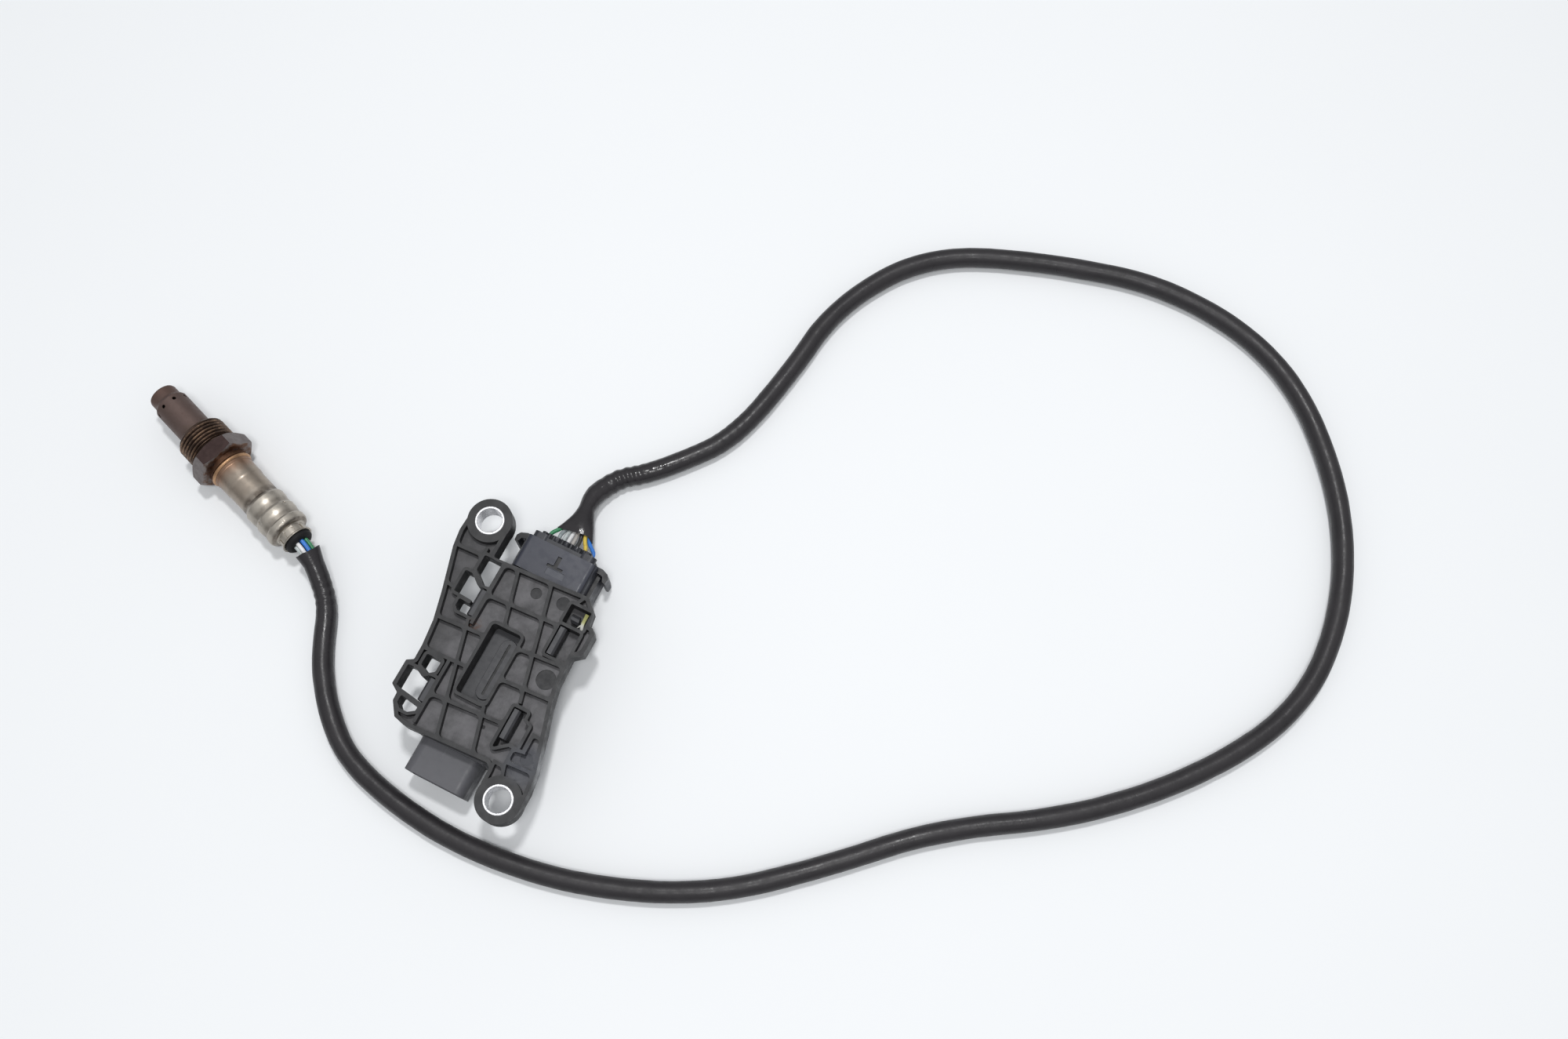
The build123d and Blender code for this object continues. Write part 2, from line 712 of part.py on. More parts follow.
# Control points of the lead's run, from the probe to the control unit
lead_route = [
    (-85.0, 2.5, 8.2), (-78.0, -3.5, 5.4), (-72.5, -10.5, 4.0), (-67.5, -21.5, 4.0),
    (-61.5, -32.0, 4.0), (-50.5, -44.5, 4.0), (-36.0, -55.5, 4.0), (-11.5, -62.0, 4.0),
    (21.5, -64.5, 4.0), (64.0, -58.0, 4.0), (107.5, -40.0, 4.0), (141.0, -12.0, 4.0),
    (172.5, 19.0, 4.0), (216.0, 45.5, 4.0), (252.5, 81.0, 4.0), (277.0, 121.0, 4.0),
    (278.0, 165.0, 4.0), (260.0, 210.5, 4.0), (222.0, 251.5, 4.0), (169.0, 263.5, 4.0),
    (115.0, 250.5, 4.0), (70.0, 231.5, 4.0), (46.5, 194.0, 4.0), (42.5, 156.5, 4.0),
    (35.0, 122.5, 4.0), (20.5, 104.0, 4.0), (10.5, 93.5, 4.0), (3.0, 88.0, 4.0),
    (-1.0, 81.0, 4.8), (-3.0, 75.0, 6.2), (-2.0, 69.5, 7.8),
]
route = [Vector(*point) for point in lead_route]


def bend_radii(points, longest=inf):
    """Each corner's radius: its arc takes up to 0.45 of the shorter run beside it."""
    runs = [b - a for a, b in zip(points, points[1:])]
    return [
        min(0.45 * a.length, 0.45 * b.length, longest) / tan(radians(a.get_angle(b) / 2))
        for a, b in zip(runs, runs[1:])
    ]


lead_radii = bend_radii(route)
print("lead bend radii:", [round(radius) for radius in lead_radii])

with BuildPart() as cable_sleeve:
    with BuildLine() as lead_line:
        FilletPolyline(*route, radius=lead_radii)
    with BuildSketch(Plane(origin=route[0], z_dir=route[1] - route[0])):
        Circle(sleeve_diameter / 2)
    sweep()
lead_length = sum(edge.length for edge in lead_line.edges())
lead_section = pi * sleeve_diameter**2 / 4
print("lead length:", round(lead_length, 1), "volume ratio:",
      round(cable_sleeve.part.volume / (lead_length * lead_section), 4))
write(cable_sleeve, "cable_sleeve")

# The sleeve's flattened, spread end at the cap
flare_start = Plane(origin=route[-1], z_dir=route[-1] - route[-2], x_dir=(1, 0, 0))
flare_mouth = Vector(unit_x - 0.9, comb_back + exposed_wire, wire_height - 1.0)
flare_end = Plane(origin=flare_mouth, x_dir=(1, 0, 0), z_dir=(0, -1, 0))
with BuildPart() as sleeve_flare:
    with BuildSketch(flare_start):
        Circle(flare_neck / 2)
    with BuildSketch(flare_end):
        Ellipse(flare_width / 2, flare_height / 2)
    loft(ruled=True)
    with BuildSketch(flare_end):
        SlotOverall(flare_slot_width, flare_slot_height)
    extrude(amount=-wire_insertion, mode=Mode.SUBTRACT)
write(sleeve_flare, "sleeve_flare")

# The sleeve's cut end at the probe
probe_mouth = route[0] + Vector(*mouth_shift)
into_sleeve = (route[0] - probe_mouth).normalized()
mouth_start = Plane(origin=route[0], z_dir=route[0] - route[1])
mouth_end = Plane(origin=probe_mouth, z_dir=into_sleeve * -1)
with BuildPart() as sleeve_mouth:
    with BuildSketch(mouth_start):
        Circle(sleeve_diameter / 2)
    with BuildSketch(mouth_end):
        Circle(mouth_diameter / 2)
    loft(ruled=True)
    with BuildSketch(mouth_end):
        Circle(mouth_diameter / 2 - sleeve_wall)
    extrude(amount=-wire_insertion, mode=Mode.SUBTRACT)
write(sleeve_mouth, "sleeve_mouth")


# ---------------------------------------------------------------------- wires

def wire(points):
    """A round wire along straight runs joined by bends."""
    with BuildPart() as strand:
        with BuildLine():
            FilletPolyline(*points, radius=bend_radii(points, wire_bend))
        with BuildSketch(Plane(origin=points[0], z_dir=points[1] - points[0])):
            Circle(wire_diameter / 2)
        sweep()
    return strand


terminal_back = board_back - board_end_gap
wire_start = terminal_back - terminal_length
for index, (colour, slot) in enumerate(zip(wire_colours, wire_slots)):
    cap_x = comb_place(slot)
    across_flare = (index - (len(wire_colours) - 1) / 2) * wire_pitch_in_flare
    in_flare = flare_mouth + Vector(across_flare, 0, wire_stagger * (-1) ** index)
    unit_wire = wire([
        Vector(cap_x, wire_start, wire_height),
        Vector(cap_x, comb_back + wire_lead_out, wire_height),
        in_flare - Vector(0, wire_lead_out, 0),
        in_flare + Vector(0, wire_insertion - fit_gap, 0),
    ])
    write(unit_wire, f"unit_wire_{colour}")

terminal_height = wire_height - wire_diameter / 2 - board_top - 2 * solder_gap
with BuildPart() as wire_terminals:
    with BuildSketch(Plane.XY.offset(board_top + solder_gap)):
        places = [(comb_place(slot), terminal_back - terminal_length / 2) for slot in wire_slots]
        with Locations(*places):
            Rectangle(terminal_width, terminal_length)
    extrude(amount=terminal_height)
write(wire_terminals, "wire_terminals")


# ---------------------------------------------------------------------- probe

heading = radians(probe_heading)
to_tip = Vector(cos(heading), sin(heading), 0)
sideways = Vector(sin(heading), -cos(heading), 0)
probe_origin = Vector(probe_x, probe_y, hex_across_flats / 2)
probe_axis = Axis(probe_origin, to_tip)
# Half-section plane: X is the radius, Y runs along the axis to the tip
half_section = Plane(origin=probe_origin, x_dir=sideways, z_dir=(0, 0, 1))


def across(place):
    """The plane square to the probe's axis at a place along it."""
    return Plane(origin=probe_origin + to_tip * place, x_dir=sideways, z_dir=to_tip)


def outward(index, count, turn=0.5):
    """The direction away from the axis of one of a ring of equal places."""
    angle = 2 * pi * (index + turn) / count
    return sideways * cos(angle) + Vector(0, 0, sin(angle))


def turned(*points):
    """A turned ring or bar from its half-section of (radius, place) points."""
    with BuildPart(mode=Mode.PRIVATE) as body:
        with BuildSketch(half_section):
            with BuildLine():
                Polyline(*points, close=True)
            make_face()
        revolve(axis=probe_axis)
    return body.part


# Places along the axis, from the hexagon's back face
hex_front = hex_length
thread_front = hex_front + thread_length
tube_back = thread_front - outer_tube_seat
tube_tip = thread_front + outer_tube_length
shoulder_front = tube_tip - outer_tube_nose
shoulder_back = shoulder_front - outer_tube_taper
collar_back = -collar_length
bead_back = collar_back - bead_length
spigot_back = collar_back - spigot_length
front_ceramic_back = tube_back - front_ceramic_length
talc_back = front_ceramic_back - talc_length
holder_front = spigot_back - holder_gap
holder_back = holder_front - holder_length
crimp_front = holder_back - contact_fan
sleeve_front = bead_back - fit_gap / 2
neck_front = sleeve_front - sleeve_length
neck_back = neck_front - neck_length
grommet_end = neck_back - grommet_stand_out

# Radii that follow from the diameters
hex_radius = hex_across_flats / 2
hex_corner = hex_radius / cos(pi / 6)
thread_radius = thread_diameter / 2
root_radius = thread_radius - thread_depth
spigot_radius = spigot_diameter / 2
collar_radius = collar_diameter / 2
bead_radius = bead_diameter / 2
ceramic_radius = ceramic_diameter / 2
bore_radius = ceramic_radius + fit_gap
tube_radius = outer_tube_diameter / 2
nose_radius = outer_tube_nose_diameter / 2
inner_radius = inner_tube_diameter / 2
neck_radius = neck_diameter / 2

# Shell: hexagon, thread, collar and spigot around one stepped bore
with BuildPart() as probe_shell:
    with BuildSketch(across(0)):
        RegularPolygon(hex_radius, 6, major_radius=False)
    extrude(amount=hex_length)
    add(turned(
        (0, 0), (hex_radius - hex_chamfer, 0), (hex_corner, hex_back_chamfer),
        (hex_corner, hex_front - hex_front_chamfer), (hex_radius - hex_chamfer, hex_front),
        (0, hex_front),
    ), mode=Mode.INTERSECT)
    add(turned(
        (0, spigot_back), (spigot_radius, spigot_back), (spigot_radius, collar_back),
        (collar_radius, collar_back), (collar_radius, hex_front / 2),
        (root_radius, hex_front / 2), (root_radius, hex_front + thread_depth),
        (thread_radius, hex_front + 2 * thread_depth),
        (thread_radius, thread_front - thread_chamfer),
        (thread_radius - thread_chamfer, thread_front), (0, thread_front),
    ))
    add(turned(
        (0, spigot_back), (bore_radius, spigot_back), (bore_radius, tube_back),
        (tube_radius + fit_gap, tube_back), (tube_radius + fit_gap, thread_front),
        (0, thread_front),
    ), mode=Mode.SUBTRACT)
write(probe_shell, "probe_shell")

# Weld bead that joins the shell's collar to the metal sleeve
with BuildPart() as weld_bead:
    bead_edge = bead_radius - bead_crown
    bead_bore = spigot_radius + fit_gap
    bead_middle = (collar_back + bead_back) / 2
    add(turned(
        (bead_bore, bead_back), (bead_edge, bead_back),
        (bead_radius, bead_middle - bead_crest / 2), (bead_radius, bead_middle + bead_crest / 2),
        (bead_edge, collar_back), (bead_bore, collar_back),
    ))
write(weld_bead, "weld_bead")

# Outer protection tube: a stepped thin cup with gas holes behind its shoulder
with BuildPart() as outer_protection_tube:
    tube_inside = tube_radius - outer_tube_wall
    nose_inside = nose_radius - outer_tube_wall
    add(turned(
        (0, tube_tip), (nose_radius - nose_rounding, tube_tip),
        (nose_radius - 0.3 * nose_rounding, tube_tip - 0.3 * nose_rounding),
        (nose_radius, tube_tip - nose_rounding), (nose_radius, shoulder_front),
        (tube_radius, shoulder_back), (tube_radius, tube_back + fit_gap),
        (tube_inside, tube_back + fit_gap), (tube_inside, shoulder_back - 0.1),
        (nose_inside, shoulder_front - 0.1), (nose_inside, tube_tip - outer_tube_wall),
        (0, tube_tip - outer_tube_wall),
    ))
    with BuildSketch(across(tube_tip)):
        Circle(tip_hole_diameter / 2)
    extrude(amount=-2 * outer_tube_wall, mode=Mode.SUBTRACT)
    for index in range(gas_hole_count):
        holes_at = probe_origin + to_tip * (shoulder_back - gas_hole_setback)
        with BuildSketch(Plane(origin=holes_at, z_dir=outward(index, gas_hole_count))):
            Circle(gas_hole_diameter / 2)
        extrude(amount=tube_radius + 1, mode=Mode.SUBTRACT)
write(outer_protection_tube, "outer_protection_tube")

# Inner protection tube: a flanged cup inside the outer one
inner_tip = tube_back + inner_tube_length
with BuildPart() as inner_protection_tube:
    flange_back = tube_back + fit_gap
    flange_front = flange_back + inner_tube_wall
    flange_radius = tube_radius - outer_tube_wall - fit_gap
    inner_bore = inner_radius - inner_tube_wall
    add(turned(
        (0, inner_tip), (inner_radius - 0.6, inner_tip), (inner_radius, inner_tip - 0.6),
        (inner_radius, flange_front), (flange_radius, flange_front),
        (flange_radius, flange_back), (inner_bore, flange_back),
        (inner_bore, inner_tip - inner_tube_wall), (0, inner_tip - inner_tube_wall),
    ))
    with BuildSketch(across(inner_tip)):
        Circle(gas_hole_diameter / 2)
    extrude(amount=-2 * inner_tube_wall, mode=Mode.SUBTRACT)
    for index in range(inner_hole_count):
        holes_at = probe_origin + to_tip * (inner_tip - inner_hole_setback)
        with BuildSketch(Plane(origin=holes_at, z_dir=outward(index, inner_hole_count, 0))):
            Circle(gas_hole_diameter / 2)
        extrude(amount=inner_radius + 1, mode=Mode.SUBTRACT)
write(inner_protection_tube, "inner_protection_tube")


# Ceramics that hold the flat sensor element in the bore
def bored_ceramic(front, length):
    with BuildPart() as ceramic:
        with BuildSketch(across(front)):
            Circle(ceramic_radius)
            Rectangle(element_width + 2 * fit_gap, element_thickness + 2 * fit_gap,
                      mode=Mode.SUBTRACT)
        extrude(amount=-length)
    return ceramic


front_ceramic = bored_ceramic(tube_back, front_ceramic_length)
write(front_ceramic, "front_ceramic")
talc_packing = bored_ceramic(front_ceramic_back, talc_length)
write(talc_packing, "talc_packing")
rear_ceramic = bored_ceramic(talc_back, rear_ceramic_length)
write(rear_ceramic, "rear_ceramic")

with BuildPart() as sensor_element:
    with BuildSketch(across(inner_tip - element_setback)):
        Rectangle(element_width, element_thickness)
    extrude(amount=-element_length)
write(sensor_element, "sensor_element")

# Contact holder, and the contacts that press on the element's back end, spread
# out behind the holder and end in a crimp round each wire
row_count = len(wire_colours) // 2
contact_pitch = element_width / row_count
contact_y = (element_thickness + contact_thickness + fit_gap) / 2
rows = [(row, column) for row in (-1, 1) for column in range(row_count)]
contact_places = [
    ((column - (row_count - 1) / 2) * contact_pitch, row * contact_y) for row, column in rows
]
ring_angles = [pi * (1 - (column + 0.5) / row_count) * row for row, column in rows]
ring_places = [
    (wire_ring_radius * cos(angle), wire_ring_radius * sin(angle)) for angle in ring_angles
]
slot_height = element_thickness + 2 * contact_thickness + 4 * fit_gap
with BuildPart() as contact_holder:
    with BuildSketch(across(holder_front)):
        Circle(sleeve_main_diameter / 2 - sleeve_metal - 2 * fit_gap)
        Rectangle(element_width + 4 * fit_gap, slot_height, mode=Mode.SUBTRACT)
    extrude(amount=-holder_length)
write(contact_holder, "contact_holder")

with BuildPart() as contact_springs:
    with BuildSketch(across(holder_front)):
        with Locations(*contact_places):
            Rectangle(contact_width, contact_thickness)
    extrude(amount=-holder_length)
    for contact_place, ring_place in zip(contact_places, ring_places):
        with BuildSketch(across(holder_back)):
            with Locations(contact_place):
                Rectangle(contact_width, contact_thickness)
        with BuildSketch(across(crimp_front)):
            with Locations(ring_place):
                Rectangle(contact_width, contact_width)
        loft()
    with BuildSketch(across(crimp_front)):
        with Locations(*ring_places):
            Circle(wire_hole / 2 + crimp_wall)
    extrude(amount=-crimp_length)
    with BuildSketch(across(crimp_front - contact_thickness)):
        with Locations(*ring_places):
            Circle(wire_hole / 2)
    extrude(amount=-crimp_length, mode=Mode.SUBTRACT)
write(contact_springs, "contact_springs")


# Metal sleeve: drawn tube with crimped waists and a folded neck
def sleeve_body(inset):
    """The sleeve's turned form down to the axis, its surface set in by a wall."""
    roll = sleeve_roll_diameter / 2 - inset
    front = sleeve_front_diameter / 2 - inset
    main = sleeve_main_diameter / 2 - inset
    rear = sleeve_rear_diameter / 2 - inset
    neck = neck_radius - inset
    lip = lip_diameter / 2 - inset
    shoulder = neck_front + inset
    roll_back = sleeve_front - sleeve_roll_length
    step_front = sleeve_front - sleeve_front_length
    waves = []
    for index, place in enumerate(sleeve_waves):
        radius = rear if index % 2 == 0 else rear - sleeve_waist
        waves += [(radius, neck_front + place + sleeve_crest),
                  (radius, neck_front + place - sleeve_crest)]
    return turned(
        (0, sleeve_front), (roll, sleeve_front), (roll, roll_back), (front, roll_back - 0.3),
        (front, step_front), (main, step_front - sleeve_step),
        (main, neck_front + sleeve_rear_length), *waves,
        (rear - 0.5, shoulder + 0.7), (rear - 1.6, shoulder + 0.1), (neck + 0.3, shoulder),
        (neck, neck_front - 0.3), (neck, neck_back + 2 * lip_length), (lip, neck_back + lip_length),
        (lip, neck_back), (0, neck_back),
    )


with BuildPart() as protective_sleeve:
    add(sleeve_body(0))
    add(sleeve_body(sleeve_metal), mode=Mode.SUBTRACT)
    for index in range(neck_folds):
        away = outward(index, neck_folds, 0)
        fold_at = probe_origin + to_tip * (neck_front - 1.0) + away * neck_radius
        with BuildSketch(Plane(origin=fold_at, x_dir=away, z_dir=to_tip)):
            Rectangle(2 * fold_depth, fold_width)
        extrude(amount=-(neck_length - 2.0), mode=Mode.SUBTRACT)
    for index in range(dimple_count):
        away = outward(index, dimple_count)
        dimple_at = probe_origin + to_tip * (neck_front + dimple_place)
        dimple_at += away * (sleeve_rear_diameter / 2 - dimple_depth)
        with BuildSketch(Plane(origin=dimple_at, z_dir=away)):
            Circle(dimple_diameter / 2)
        extrude(amount=1.0, mode=Mode.SUBTRACT)
write(protective_sleeve, "protective_sleeve")

# Rubber grommet in the neck, with one hole for each wire
with BuildPart() as probe_grommet:
    grommet_radius = neck_radius - sleeve_metal - fit_gap
    flange_radius = grommet_flange / 2
    flange_back = neck_back - fit_gap
    add(turned(
        (0, neck_back + grommet_depth), (grommet_radius, neck_back + grommet_depth),
        (grommet_radius, flange_back), (flange_radius, flange_back),
        (flange_radius, flange_back - grommet_flange_length),
        (flange_radius - 0.5, (flange_back + grommet_end) / 2 - 0.7),
        (grommet_nose / 2, grommet_end), (0, grommet_end),
    ))
    with BuildSketch(across(grommet_end)):
        with Locations(*ring_places):
            Circle(wire_hole / 2)
    extrude(amount=neck_back + grommet_depth - grommet_end, mode=Mode.SUBTRACT)
write(probe_grommet, "probe_grommet")

# Wires from the crimps through the grommet into the mouth of the sleeve
for (x, y), colour in zip(ring_places, probe_colours):
    crimp_place = crimp_front - 2 * contact_thickness
    ring = sideways * x - Vector(0, 0, y)
    in_mouth = probe_mouth + ring - into_sleeve * ring.dot(into_sleeve)
    probe_wire = wire([
        probe_origin + to_tip * crimp_place + ring,
        probe_origin + to_tip * (grommet_end - wire_lead_out) + ring,
        in_mouth - into_sleeve * wire_lead_out,
        in_mouth + into_sleeve * (wire_insertion - fit_gap),
    ])
    write(probe_wire, f"probe_wire_{colour}")
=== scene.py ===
import json
import math

import bmesh
import bpy
from mathutils import Matrix, Vector, noise


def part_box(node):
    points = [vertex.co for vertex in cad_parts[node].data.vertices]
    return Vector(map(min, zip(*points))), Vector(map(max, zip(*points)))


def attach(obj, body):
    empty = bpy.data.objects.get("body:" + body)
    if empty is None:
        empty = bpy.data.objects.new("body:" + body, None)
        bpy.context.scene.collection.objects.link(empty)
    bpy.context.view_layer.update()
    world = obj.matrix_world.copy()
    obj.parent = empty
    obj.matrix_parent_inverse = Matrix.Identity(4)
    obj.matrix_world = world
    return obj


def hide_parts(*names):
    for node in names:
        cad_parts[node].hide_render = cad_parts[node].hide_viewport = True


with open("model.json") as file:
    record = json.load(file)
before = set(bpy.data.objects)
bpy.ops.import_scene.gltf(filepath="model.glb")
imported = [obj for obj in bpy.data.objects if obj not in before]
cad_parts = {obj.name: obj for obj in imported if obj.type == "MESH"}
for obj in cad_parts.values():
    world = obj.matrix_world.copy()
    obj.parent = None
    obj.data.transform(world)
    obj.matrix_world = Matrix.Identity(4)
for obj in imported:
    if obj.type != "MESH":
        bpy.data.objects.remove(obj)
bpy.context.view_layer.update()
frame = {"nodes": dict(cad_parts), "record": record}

# An oxygen sensor: a screw-in exhaust probe, its sleeved lead and the control unit
# in a ribbed bracket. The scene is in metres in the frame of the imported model: z = 0
# is the surface that the parts lie on, and the origin lies on it midway between the
# two mounting bushings. Lengths are written in millimetres, and MM makes them metres,
# apart from those that a comment gives in metres.
MM = 0.001
MM_PER_METRE = 1000.0
TURN = 2 * math.pi


# ------------ shared places

# The probe's axis, from the back face of its hexagon towards the tip
PROBE_HEADING = math.radians(161.2)
TO_TIP = Vector((math.cos(PROBE_HEADING), math.sin(PROBE_HEADING), 0.0))
SIDEWAYS = Vector((math.sin(PROBE_HEADING), -math.cos(PROBE_HEADING), 0.0))
UP = Vector((0.0, 0.0, 1.0))
HEX_ACROSS_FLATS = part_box("probe_shell")[1].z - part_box("probe_shell")[0].z
PROBE_ORIGIN = Vector((-136.1 * MM, 21.9 * MM, HEX_ACROSS_FLATS / 2))

# Control points of the lead's route, from the probe to the control unit, in mm
LEAD_ROUTE = [
    (-85.0, 2.5, 8.2), (-78.0, -3.5, 5.4), (-72.5, -10.5, 4.0), (-67.5, -21.5, 4.0),
    (-61.5, -32.0, 4.0), (-50.5, -44.5, 4.0), (-36.0, -55.5, 4.0), (-11.5, -62.0, 4.0),
    (21.5, -64.5, 4.0), (64.0, -58.0, 4.0), (107.5, -40.0, 4.0), (141.0, -12.0, 4.0),
    (172.5, 19.0, 4.0), (216.0, 45.5, 4.0), (252.5, 81.0, 4.0), (277.0, 121.0, 4.0),
    (278.0, 165.0, 4.0), (260.0, 210.5, 4.0), (222.0, 251.5, 4.0), (169.0, 263.5, 4.0),
    (115.0, 250.5, 4.0), (70.0, 231.5, 4.0), (46.5, 194.0, 4.0), (42.5, 156.5, 4.0),
    (35.0, 122.5, 4.0), (20.5, 104.0, 4.0), (10.5, 93.5, 4.0), (3.0, 88.0, 4.0),
    (-1.0, 81.0, 4.8), (-3.0, 75.0, 6.2), (-2.0, 69.5, 7.8),
]
LEAD_DIAMETER = 8.0 * MM

# Heights on the control unit. The model has the bracket's pocket floors at its
# plate's top, and here they lie higher, with round ejector marks sunk in them.
PLATE_TOP = 21.6
POCKET_FLOOR = 23.8
MARK_DEPTH = 0.35
CAP_TOP = 20.0
PAD_TOP = 19.9

# The middles of the recessed pad below the cap's mark and of the whole part
CAP_PAD = Vector((2.9, 38.9, 19.75)) * MM
SCENE_MIDDLE = Vector((60.0, 90.0, 0.0)) * MM

# The middles of a brown stain and an oily spot on the bracket, and of the sleeve's two
# glossy stretches
STAIN = Vector((-13.6, 7.2, 23.8)) * MM
OILY_SPOT = Vector((29.0, -29.5, 22.0)) * MM
GLOSS_BY_CAP = Vector((0.0, 76.0, 5.0)) * MM
GLOSS_BY_PROBE = Vector((-84.0, 0.0, 8.0)) * MM


# ------------ camera

# The view looks down, 18 degrees off the vertical, and this direction is its right
CAMERA_PLACE = Vector((151.1, -64.8, 575.0)) * MM
CAMERA_AIM = Vector((67.73, 102.38, 0.0)) * MM
PICTURE_RIGHT = Vector((math.cos(math.radians(26.5)), math.sin(math.radians(26.5)), 0.0))

camera_data = bpy.data.cameras.new("camera")
camera_data.sensor_width = 36.0
camera_data.lens = 35.1
camera_data.clip_start = 0.01
camera_data.clip_end = 20.0
camera = bpy.data.objects.new("camera", camera_data)
bpy.context.scene.collection.objects.link(camera)
backwards = (CAMERA_PLACE - CAMERA_AIM).normalized()
right = (PICTURE_RIGHT - backwards * PICTURE_RIGHT.dot(backwards)).normalized()
turn = Matrix((right, backwards.cross(right), backwards)).transposed()
camera.matrix_world = Matrix.Translation(CAMERA_PLACE) @ turn.to_4x4()
bpy.context.scene.camera = camera
bpy.context.scene.view_settings.view_transform = "Standard"


# ------------ material helpers

class Nodes:
    """Adds the nodes of one material or world to its tree, a step at a time."""

    def __init__(self, tree):
        self.tree = tree

    def add(self, kind, **settings):
        """A new node of a kind, with its own settings."""
        node = self.tree.nodes.new(f"ShaderNode{kind}")
        for setting, value in settings.items():
            setattr(node, setting, value)
        return node

    def put(self, socket, value):
        """A value, or another node's output, on a socket."""
        if isinstance(value, bpy.types.NodeSocket):
            self.tree.links.new(value, socket)
        else:
            socket.default_value = value

    def span(self, value, low, high, to_low=0.0, to_high=1.0):
        """The value's range from low to high laid smoothly over another range."""
        node = self.add("MapRange", interpolation_type="SMOOTHSTEP")
        self.put(node.inputs["Value"], value)
        for socket, number in zip(("From Min", "From Max", "To Min", "To Max"),
                                  (low, high, to_low, to_high)):
            node.inputs[socket].default_value = number
        return node.outputs["Result"]

    def math(self, operation, a, b=0.0):
        """One arithmetic step on two numbers."""
        node = self.add("Math", operation=operation)
        self.put(node.inputs[0], a)
        self.put(node.inputs[1], b)
        return node.outputs[0]

    def ray(self, kind):
        """1 for rays of a kind, such as Camera, and 0 for the others."""
        return self.add("LightPath").outputs[f"Is {kind} Ray"]

    def direct_ray(self):
        """1 for rays from the camera and for mirrored or transmitted ones, else 0."""
        mirrored = self.math("MAXIMUM", self.ray("Camera"), self.ray("Glossy"))
        return self.math("MAXIMUM", mirrored, self.ray("Transmission"))


